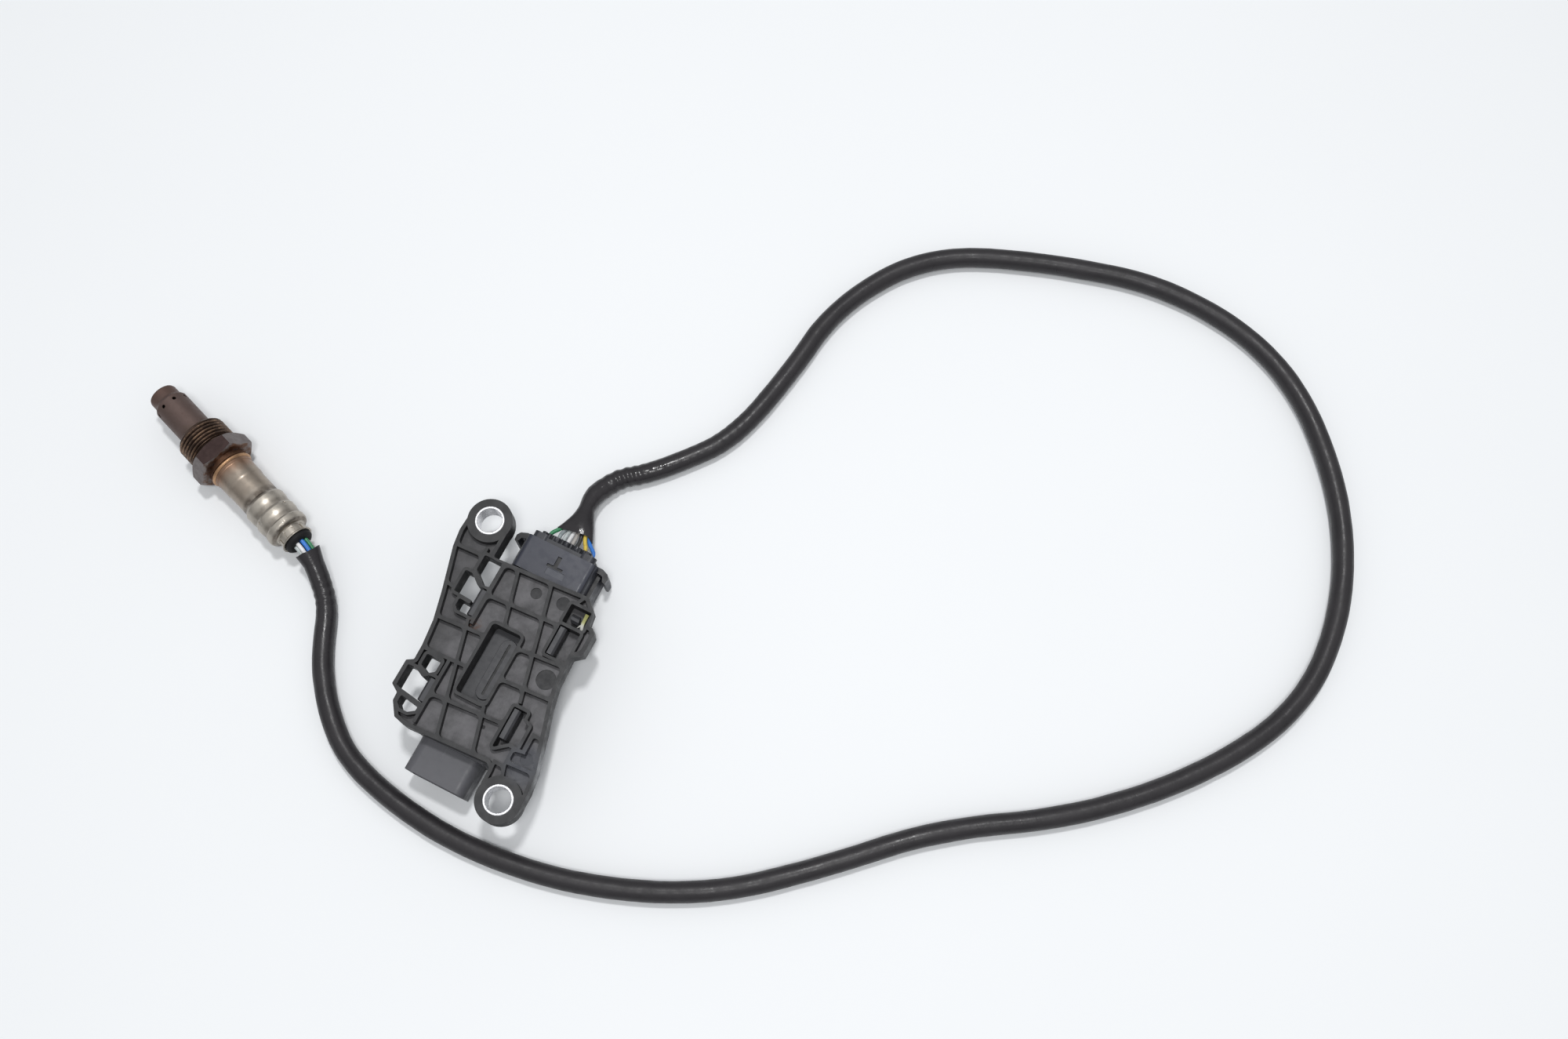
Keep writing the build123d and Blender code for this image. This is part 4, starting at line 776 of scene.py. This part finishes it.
def sleeve_rows():
    """Rings along the lead, flattened where they would go below the floor."""
    rows = []
    travelled = 0.0
    previous = lead_line[0]
    for point, side, over in ring_frames(lead_line):
        travelled += (point - previous).length / MM
        previous = point
        row = []
        for k in range(SLEEVE_SIDES):
            away = turned(side, over, TURN * k / SLEEVE_SIDES)
            place = point + away * SLEEVE_RADIUS * MM
            spot = point + away * sleeve_radius(travelled, lead_length / MM, place) * MM
            spot.z = max(spot.z, 0.0)
            row.append(spot)
        rows.append(row)
    return rows


cable_sleeve = surface("lead_sleeve", sleeve_rows(), "sleeve_rubber", cap_start=True, cap_end=True)
stands_for("cable_sleeve")


# ------------ the sleeve's two open, slack ends

END_SIDES = 48
# The thickness of the sleeve's skin
SKIN = 0.6


def sleeve_end(name, node, rows, inner_rows):
    """An open end of the sleeve: outer rows to the rim, then inner rows to a floor."""
    piece = surface(name, rows + inner_rows, "sleeve_rubber", cap_end=True, smooth_angle=70)
    stands_for(node)
    return piece


FLARE_MOUTH = Vector((-0.2, 58.0, 10.5))
FLARE_HALF_WIDTH = 7.7
FLARE_HALF_HEIGHT = 2.5
# The flare's middle line turns round two points, this far from its neck and its mouth
FLARE_NECK_BEND = 3.4
FLARE_MOUTH_BEND = Vector((0, 4.2, 0.3))
# The flare's first ring lies this share of its length inside the sleeve
FLARE_OVERLAP = 0.03
FLARE_STEPS = 16
# The inner rings, from the rim at 1 to the floor, as shares of the flare's length
FLARE_INNER = (1.0, 0.93, 0.84)


def ragged_flare(angle, k):
    """How far the flare's torn rim stands out at an angle: two points and a notch."""
    left, right_side = fade(-math.cos(angle), 0.2, 1.0), fade(math.cos(angle), 0.72, 1.0)
    notch = fade(math.cos(angle), -0.2, 0.5)
    return (0.75 * left + 1.5 * right_side - 0.9 * notch
            + 0.22 * noise.noise(Vector((k * 0.45, 3.1, 0.0))))


def flare_ring(t, inset=0.0):
    """A ring of the flare: t runs from the neck, 0, to the mouth at the cap, 1."""
    start = lead_line[-1] / MM
    heading = (lead_line[-1] - lead_line[-2]).normalized()
    points = (start, start + heading * FLARE_NECK_BEND, FLARE_MOUTH + FLARE_MOUTH_BEND, FLARE_MOUTH)
    u = 1 - t
    a, b, c, d = points
    centre = a * u**3 + b * 3 * u * u * t + c * 3 * u * t * t + d * t**3
    along = ((b - a) * u * u + (c - b) * 2 * u * t + (d - c) * t * t).normalized()
    across = (Vector((1, 0, 0)) - along * along.x).normalized()
    over = along.cross(across)
    spread = max(t, 0.0)
    half_width = PINCHED_RADIUS + (FLARE_HALF_WIDTH - PINCHED_RADIUS) * spread**1.6 - inset
    half_height = PINCHED_RADIUS + (FLARE_HALF_HEIGHT - PINCHED_RADIUS) * spread - inset
    slack = fade(spread, 0.0, 0.3)
    ring = []
    for k in range(END_SIDES):
        angle = TURN * k / END_SIDES
        crease = 1 + 0.03 * spread * math.sin(5 * angle + 0.8)
        crease += 0.02 * slack * math.sin(3 * angle + 6 * t)
        out = turned(across * half_width, over * half_height, angle) * crease
        ring.append((centre + out + along * ragged_flare(angle, k) * fade(t, 0.6, 1.0)) * MM)
    return ring


flare_rows = [flare_ring(i / FLARE_STEPS if i else -FLARE_OVERLAP) for i in range(FLARE_STEPS + 1)]
sleeve_flare = sleeve_end("sleeve_flare_skin", "sleeve_flare", flare_rows,
                          [flare_ring(t, SKIN) for t in FLARE_INNER])

MOUTH_PLACE = Vector((-89.6, 6.0, 10.0))
MOUTH_RADIUS = 4.75
# Where the mouth starts it is a little narrower than the sleeve that it comes out of
MOUTH_START_RADIUS = SLEEVE_RADIUS - 0.1
MOUTH_STEPS = 8
# How deep the inner rings lie behind the rim
MOUTH_INNER = (0.0, 1.2, 2.6)


def mouth_ring(t, inset=0.0, back=0.0):
    """A ring of the sleeve's mouth at the probe: t runs from the sleeve, 0, to the rim, 1."""
    start = lead_line[0] / MM
    heading = (lead_line[0] - lead_line[1]).normalized()
    outward = (MOUTH_PLACE - start).normalized()
    along = (heading * (1 - t) + outward * t).normalized()
    centre = start + (MOUTH_PLACE - start) * t
    across = along.cross(UP).normalized()
    over = across.cross(along)
    radius = MOUTH_START_RADIUS + (MOUTH_RADIUS - MOUTH_START_RADIUS) * t - inset
    ring = []
    for k in range(END_SIDES):
        angle = TURN * k / END_SIDES
        slack = 1 + t * (0.05 * math.sin(2 * angle + 2.2) + 0.03 * math.sin(5 * angle))
        ragged = 0.5 * math.sin(angle + 2.6) + 0.3 * noise.noise(Vector((k * 0.3, 7.7, 0.0)))
        out = turned(across, over, angle) * radius * slack
        ring.append((centre + out + along * (ragged * fade(t, 0.5, 1.0) - back)) * MM)
    return ring


sleeve_mouth = sleeve_end("sleeve_mouth_skin", "sleeve_mouth",
                          [mouth_ring(i / MOUTH_STEPS) for i in range(MOUTH_STEPS + 1)],
                          [mouth_ring(1.0, SKIN, depth) for depth in MOUTH_INNER])


# ------------ wires

WIRE_RADIUS = 0.8
# The wires at the cap in the order of their slots in its comb, from the left, with
# each one's slot, the comb's middle slot and its place, and the slots' pitch
UNIT_WIRES = {"green": 0, "grey": 2, "light_grey": 3, "white": 4, "beige": 5, "black": 6,
              "yellow": 8, "blue": 10}
COMB_MIDDLE_SLOT = 5
COMB_MIDDLE_X = 0.9
COMB_PITCH = 1.87
COMB_BACK = 49.6
WIRE_HEIGHT = 11.5
PITCH_IN_FLARE = 1.72
STAGGER_IN_FLARE = 0.15
# The wires at the probe: the first four leave the grommet below and the others above
PROBE_WIRES = ["light_grey", "white", "blue", "green", "grey", "black", "yellow", "beige"]
GROMMET_RING = 2.6
# Places on the probe's axis that its wires pass straight through: in the grommet and
# just behind it
GROMMET_PLACES = (-42.5, -45.2)


def strand(end, colour, points_mm):
    """A round wire on one smooth line that stands for its CAD node."""
    curve = smooth_curve(f"{end}_lead_{colour}", points_mm, 4, 6)
    curve.bevel_depth = WIRE_RADIUS * MM
    curve.bevel_resolution = 4
    curve.use_fill_caps = True
    piece = add_object(f"{end}_lead_{colour}", curve, f"wire_{colour}")
    stands_for(f"{end}_wire_{colour}")
    return piece


def unit_wire(index, colour):
    """A wire from the cap's comb into the flare, bowed away from the middle."""
    cap_x = COMB_MIDDLE_X + (UNIT_WIRES[colour] - COMB_MIDDLE_SLOT) * COMB_PITCH
    from_middle = index - (len(UNIT_WIRES) - 1) / 2
    flare_x = FLARE_MOUTH.x + from_middle * PITCH_IN_FLARE
    level = FLARE_MOUTH.z + STAGGER_IN_FLARE * (-1) ** index
    bow = 0.22 * from_middle
    rise = 0.25 * math.sin(index * 2.1)
    return strand("unit", colour, [
        (cap_x, COMB_BACK, WIRE_HEIGHT), (cap_x, COMB_BACK + 2.8, WIRE_HEIGHT),
        (cap_x + bow * 0.6, COMB_BACK + 4.4, WIRE_HEIGHT - 0.1 + rise),
        (flare_x + bow, FLARE_MOUTH.y - 1.6, level + 0.3 + rise),
        (flare_x * 0.94, FLARE_MOUTH.y + 0.2, level), (flare_x * 0.8, FLARE_MOUTH.y + 2.4, level),
    ])


def probe_wire(index, colour):
    """A wire from the grommet into the sleeve's mouth."""
    per_row = len(PROBE_WIRES) // 2
    row = -1 if index < per_row else 1
    angle = math.pi * (1 - (index % per_row + 0.5) / per_row) * row
    ring = turned(SIDEWAYS, -UP, angle) * GROMMET_RING
    origin = PROBE_ORIGIN / MM
    inward = (lead_line[0] / MM - MOUTH_PLACE).normalized()
    in_mouth = MOUTH_PLACE + ring - inward * ring.dot(inward)
    return strand("probe", colour, [origin + TO_TIP * place + ring for place in GROMMET_PLACES]
                  + [in_mouth - inward * 1.7, in_mouth + inward * 1.9])


wire_pieces = [unit_wire(i, colour) for i, colour in enumerate(UNIT_WIRES)]
wire_pieces += [probe_wire(i, colour) for i, colour in enumerate(PROBE_WIRES)]


# ------------ threaded shell

# Places along the probe's axis, and radii
THREAD_BACK = 7.0
THREAD_FRONT = 17.6
THREAD_RADIUS = 10.0
THREAD_ROOT = 9.12
THREAD_PITCH = 1.5
THREAD_BORE = 6.85
THREAD_SIDES = 72
# One turn of the profile: phase along the pitch and radius
THREAD_PROFILE = [(0.0, THREAD_ROOT), (0.16, THREAD_ROOT), (0.46, 9.92), (0.53, THREAD_RADIUS),
                  (0.67, THREAD_RADIUS), (0.74, 9.92)]
# Behind the thread a groove as deep as its root: where it ends, where the thread has
# its full height, and the height gained between them. In front a chamfer.
RUN_OUT = (0.7, 1.6, 0.9)
CHAMFER_LENGTH = 1.1
CHAMFER_SLOPE = 0.9
# How far the hexagon's piece reaches in under the thread
HEAD_LAP = 0.02


def thread_row(row):
    """One sheared row of the helical surface, held between the thread's two ends."""
    turns, step = divmod(row, len(THREAD_PROFILE))
    phase, radius = THREAD_PROFILE[step]
    points = []
    for k in range(THREAD_SIDES):
        place = THREAD_BACK + (turns - 1 + phase + k / THREAD_SIDES) * THREAD_PITCH
        held = min(max(place, THREAD_BACK), THREAD_FRONT)
        low, high, rise = RUN_OUT
        relief = THREAD_ROOT + rise * fade(held, THREAD_BACK + low, THREAD_BACK + high)
        chamfer = THREAD_RADIUS - max(held - (THREAD_FRONT - CHAMFER_LENGTH), 0.0) * CHAMFER_SLOPE
        points.append(probe_point(held, min(radius, relief, chamfer), TURN * k / THREAD_SIDES))
    return points


def turn_about_probe(vertex):
    """A vertex's angle round the probe's axis."""
    away = vertex.co - PROBE_ORIGIN
    return math.atan2(away.dot(UP), away.dot(SIDEWAYS))


def close_thread(work, place, flip):
    """A flat ring from the thread's end at a place in to its bore."""
    rim = [v for v in work.verts if abs((v.co - PROBE_ORIGIN).dot(TO_TIP) / MM - place) < 1e-3]
    around = sorted(rim, key=turn_about_probe)
    inner = [work.verts.new(probe_point(place, THREAD_BORE, turn_about_probe(v))) for v in around]
    for k in range(len(around)):
        j = (k + 1) % len(around)
        work.faces.new((around[k], around[j], inner[j], inner[k])[::flip])


def shell_head():
    """The shell's collar and hexagon, cut off where the thread starts."""
    work = clean_copy("probe_shell")
    cut = PROBE_ORIGIN + TO_TIP * (THREAD_BACK + HEAD_LAP) * MM
    bmesh.ops.bisect_plane(work, geom=work.verts[:] + work.edges[:] + work.faces[:],
                           plane_co=cut, plane_no=TO_TIP, clear_outer=True)
    piece = add_piece("shell_head", work, "shell_steel", 30)
    round_edges(piece, 0.2)
    stands_for("probe_shell")


def shell_thread():
    """The shell's M20 x 1.5 thread, which the model has as a plain cylinder."""
    work = bmesh.new()
    turns = int((THREAD_FRONT - THREAD_BACK) / THREAD_PITCH) + 3
    wrap = len(THREAD_PROFILE)
    rows = [[work.verts.new(p) for p in thread_row(row)] for row in range(turns * wrap)]
    for index in range(len(rows) - wrap - 1):
        # A row that has gone round once meets the same row of the next turn
        low = rows[index] + rows[index + wrap][:1]
        high = rows[index + 1] + rows[index + wrap + 1][:1]
        for k in range(THREAD_SIDES):
            work.faces.new((low[k], low[k + 1], high[k + 1], high[k]))
    bmesh.ops.remove_doubles(work, verts=work.verts, dist=2 * SAME_POINT)
    bmesh.ops.dissolve_degenerate(work, edges=work.edges, dist=2 * SAME_POINT)
    loose = [v for v in work.verts if not v.link_faces]
    bmesh.ops.delete(work, geom=loose, context="VERTS")
    close_thread(work, THREAD_BACK, 1)
    close_thread(work, THREAD_FRONT, -1)
    bmesh.ops.recalc_face_normals(work, faces=work.faces)
    add_piece("shell_thread", work, "shell_steel", 25)


shell_head()
shell_thread()


# ------------ bushings

BUSHING_BORE = 9.4
BUSHING_EDGE = 0.16
BUSHING_SIDES = 96


def turned_bushing(node):
    """A bushing with small broken edges on its rims, turned round its upright axis."""
    low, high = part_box(node)
    middle = (low + high) / 2
    outer, inner = (high.x - low.x) / 2, BUSHING_BORE / 2 * MM
    edge = BUSHING_EDGE * MM
    profile = [(outer - edge, low.z), (outer, low.z + edge), (outer, high.z - edge),
               (outer - edge, high.z), (inner + edge, high.z), (inner, high.z - edge),
               (inner, low.z + edge), (inner + edge, low.z), (outer - edge, low.z)]
    rows = []
    for radius, z in profile:
        angles = [TURN * k / BUSHING_SIDES for k in range(BUSHING_SIDES)]
        rows.append([Vector((middle.x + radius * math.cos(angle),
                             middle.y + radius * math.sin(angle), z)) for angle in angles])
    piece = surface(f"{node}_finish", rows, "bushing_metal", smooth_angle=30, weld=True)
    stands_for(node)


# ------------ small broken fragments

def strip(name, points_mm, widths, thickness, slot):
    """A thin moulded strip along points, with a width in X at each of them."""
    rows = []
    for place, width in zip(points_mm, widths):
        corners = [(-width, -thickness), (width, -thickness), (width, thickness), (-width, thickness)]
        rows.append([(Vector(place) + Vector((x, 0, z)) / 2) * MM for x, z in corners])
    piece = surface(name, rows, slot, cap_start=True, cap_end=True, smooth_angle=45)
    round_edges(piece, 0.12)
    return piece


# The torn latch tongue that stands in the rear clip pocket, and its stump
sliver = strip("latch_sliver", [(22.7, 29.4, 24.6), (22.9, 27.4, 25.4), (23.1, 25.4, 25.9),
                                (23.5, 23.6, 25.6), (24.3, 22.0, 24.8), (25.1, 20.5, 23.9)],
               [1.5, 1.3, 1.3, 1.2, 0.9, 0.3], 0.7, "element_ceramic")
prong = strip("latch_prong", [(23.0, 25.0, 25.5), (22.3, 23.9, 25.3), (21.6, 23.0, 24.8)],
              [0.9, 0.6, 0.25], 0.6, "element_ceramic")
# No slot is a yellow plastic, so these two have a pale slot and a finish of their own
for fragment in (sliver, prong):
    fragment.data.materials[0] = BROKEN_LATCH
strip("latch_stump", [(19.0, 27.6, 22.4), (19.2, 26.4, 23.6), (19.5, 25.2, 23.8),
                      (19.9, 24.2, 22.6)], [3.4, 3.6, 3.5, 3.2], 1.6, "housing_plastic")


# ------------ CAD pieces dressed

# How far a pocket's or a mark's height in the model may be off
LEVEL_SLACK = 0.02
# The widths of the round corners between walls, on wide and then on narrower ones
CORNER_WIDTHS = (1.6, 0.8)


def shallow_pockets(work):
    """Lifts the pocket floors and the marks sunk in them, and rounds the pockets' corners."""
    for vertex in work.verts:
        if PLATE_TOP - MARK_DEPTH - LEVEL_SLACK < vertex.co.z / MM < PLATE_TOP + LEVEL_SLACK:
            vertex.co.z += (POCKET_FLOOR - PLATE_TOP) * MM
    soften_corners(work, CORNER_WIDTHS, (POCKET_FLOOR, round(POCKET_FLOOR - MARK_DEPTH, 2)))


def dressed(node, slot, width, segments=2, angle=32, reshape=None):
    """A rounded copy of a CAD node that stands for it."""
    work = clean_copy(node)
    if reshape:
        reshape(work)
    piece = add_piece(f"{node}_finish", work, slot, angle)
    round_edges(piece, width, segments, angle)
    stands_for(node)


dressed("bracket", "bracket_plastic", 0.45, 3, reshape=shallow_pockets)
dressed("unit_housing", "housing_plastic", 0.5, 3)
dressed("cable_cap", "cap_plastic", 0.4, 3)
for bushing in ("bushing_upper", "bushing_lower"):
    turned_bushing(bushing)
dressed("protective_sleeve", "nickel_steel", 0.22, 2, 14)
dressed("outer_protection_tube", "tube_steel", 0.1)
dressed("probe_grommet", "seal_rubber", 0.15)
dressed("weld_bead", "bead_copper", 0.1)

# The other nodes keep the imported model's own meshes, with their slots' finishes
slot_of = {part["node"]: part["material_slot"] for part in frame["record"]["subparts"]}
for node_name, node_object in frame["nodes"].items():
    if node_name not in shown_by_pieces:
        node_object.data.materials.clear()
        node_object.data.materials.append(MATERIALS[slot_of[node_name]])


# ------------ stage

# The floor's colour as the camera sees it, and a darker one for the light it returns
FLOOR_SEEN = (0.87, 0.885, 0.9)
FLOOR_LIT = (0.74, 0.77, 0.79)
# Half the floor's width, and how far it lies below the parts, in metres
FLOOR_REACH = 6.0
FLOOR_DROP = 0.0001
# From this near to this far from the middle the floor fades into the background
FADE_FROM, FADE_TO = 450.0, 1500.0

# The background as the camera and mirrors see it, and the light that it gives
BACKDROP = (0.86, 0.875, 0.89)
SKY_LIGHT = (0.96, 0.98, 1.0)
SKY_STRENGTH = 0.5
# Mirrored, the background is this bright by the horizon and overhead
MIRRORED_LOW, MIRRORED_HIGH = 0.4, 0.95


def floor():
    """A pale plain floor that keeps the object's shadow."""
    mesh = bpy.data.meshes.new("floor")
    corners = [(-1, -1), (1, -1), (1, 1), (-1, 1)]
    mesh.from_pydata([(x * FLOOR_REACH, y * FLOOR_REACH, 0) for x, y in corners], [], [(0, 1, 2, 3)])
    piece = bpy.data.objects.new("floor", mesh)
    piece.location.z = -FLOOR_DROP
    bpy.context.scene.collection.objects.link(piece)
    m = Shader("floor_finish", roughness=0.6, Specular_IOR_Level=0.2)
    seen = m.blend(m.noise(160, 3), FLOOR_SEEN, tuple(c * 0.98 for c in FLOOR_SEEN))
    m.set("Base Color", m.blend(m.direct_ray(), FLOOR_LIT, seen))
    # The camera sees the background through the far floor, so there is no horizon
    far = m.span(m.distance(SCENE_MIDDLE), FADE_FROM, FADE_TO)
    m.set("Alpha", m.math("SUBTRACT", 1.0, m.math("MULTIPLY", m.ray("Camera"), far)))
    mesh.materials.append(m.material)


def surroundings():
    """Even light from all sides, with a pale background for the camera and mirrors."""
    world = bpy.data.worlds.new("studio")
    bpy.context.scene.world = world
    world.use_nodes = True
    w = Nodes(world.node_tree)
    lit = w.tree.nodes["Background"]
    lit.inputs["Color"].default_value = (*SKY_LIGHT, 1.0)
    lit.inputs["Strength"].default_value = SKY_STRENGTH
    parts = w.add("SeparateXYZ")
    w.put(parts.inputs[0], w.add("TexCoord").outputs["Generated"])
    mirrored = w.span(parts.outputs["Z"], 0.1, 0.8, MIRRORED_LOW, MIRRORED_HIGH)
    seen = w.add("Background")
    seen.inputs["Color"].default_value = (*BACKDROP, 1.0)
    w.put(seen.inputs["Strength"], w.math("MAXIMUM", w.ray("Camera"), mirrored))
    chosen = w.add("MixShader")
    w.put(chosen.inputs["Fac"], w.direct_ray())
    w.put(chosen.inputs[1], lit.outputs[0])
    w.put(chosen.inputs[2], seen.outputs[0])
    w.put(w.tree.nodes["World Output"].inputs["Surface"], chosen.outputs[0])


def lamp(name, shift, size, power):
    """A round lamp that shines on the middle of the part from a shift away, in metres."""
    data = bpy.data.lights.new(name, "AREA")
    data.shape = "DISK"
    data.size = size
    data.energy = power
    holder = bpy.data.objects.new(name, data)
    bpy.context.scene.collection.objects.link(holder)
    holder.location = SCENE_MIDDLE + Vector(shift)
    holder.rotation_euler = (-Vector(shift)).to_track_quat("-Z", "Y").to_euler()


floor()
surroundings()
lamp("key", (-0.1, 0.3, 1.5), 0.16, 8.6)
lamp("fill", (0.19, -0.36, 1.3), 0.3, 4.6)
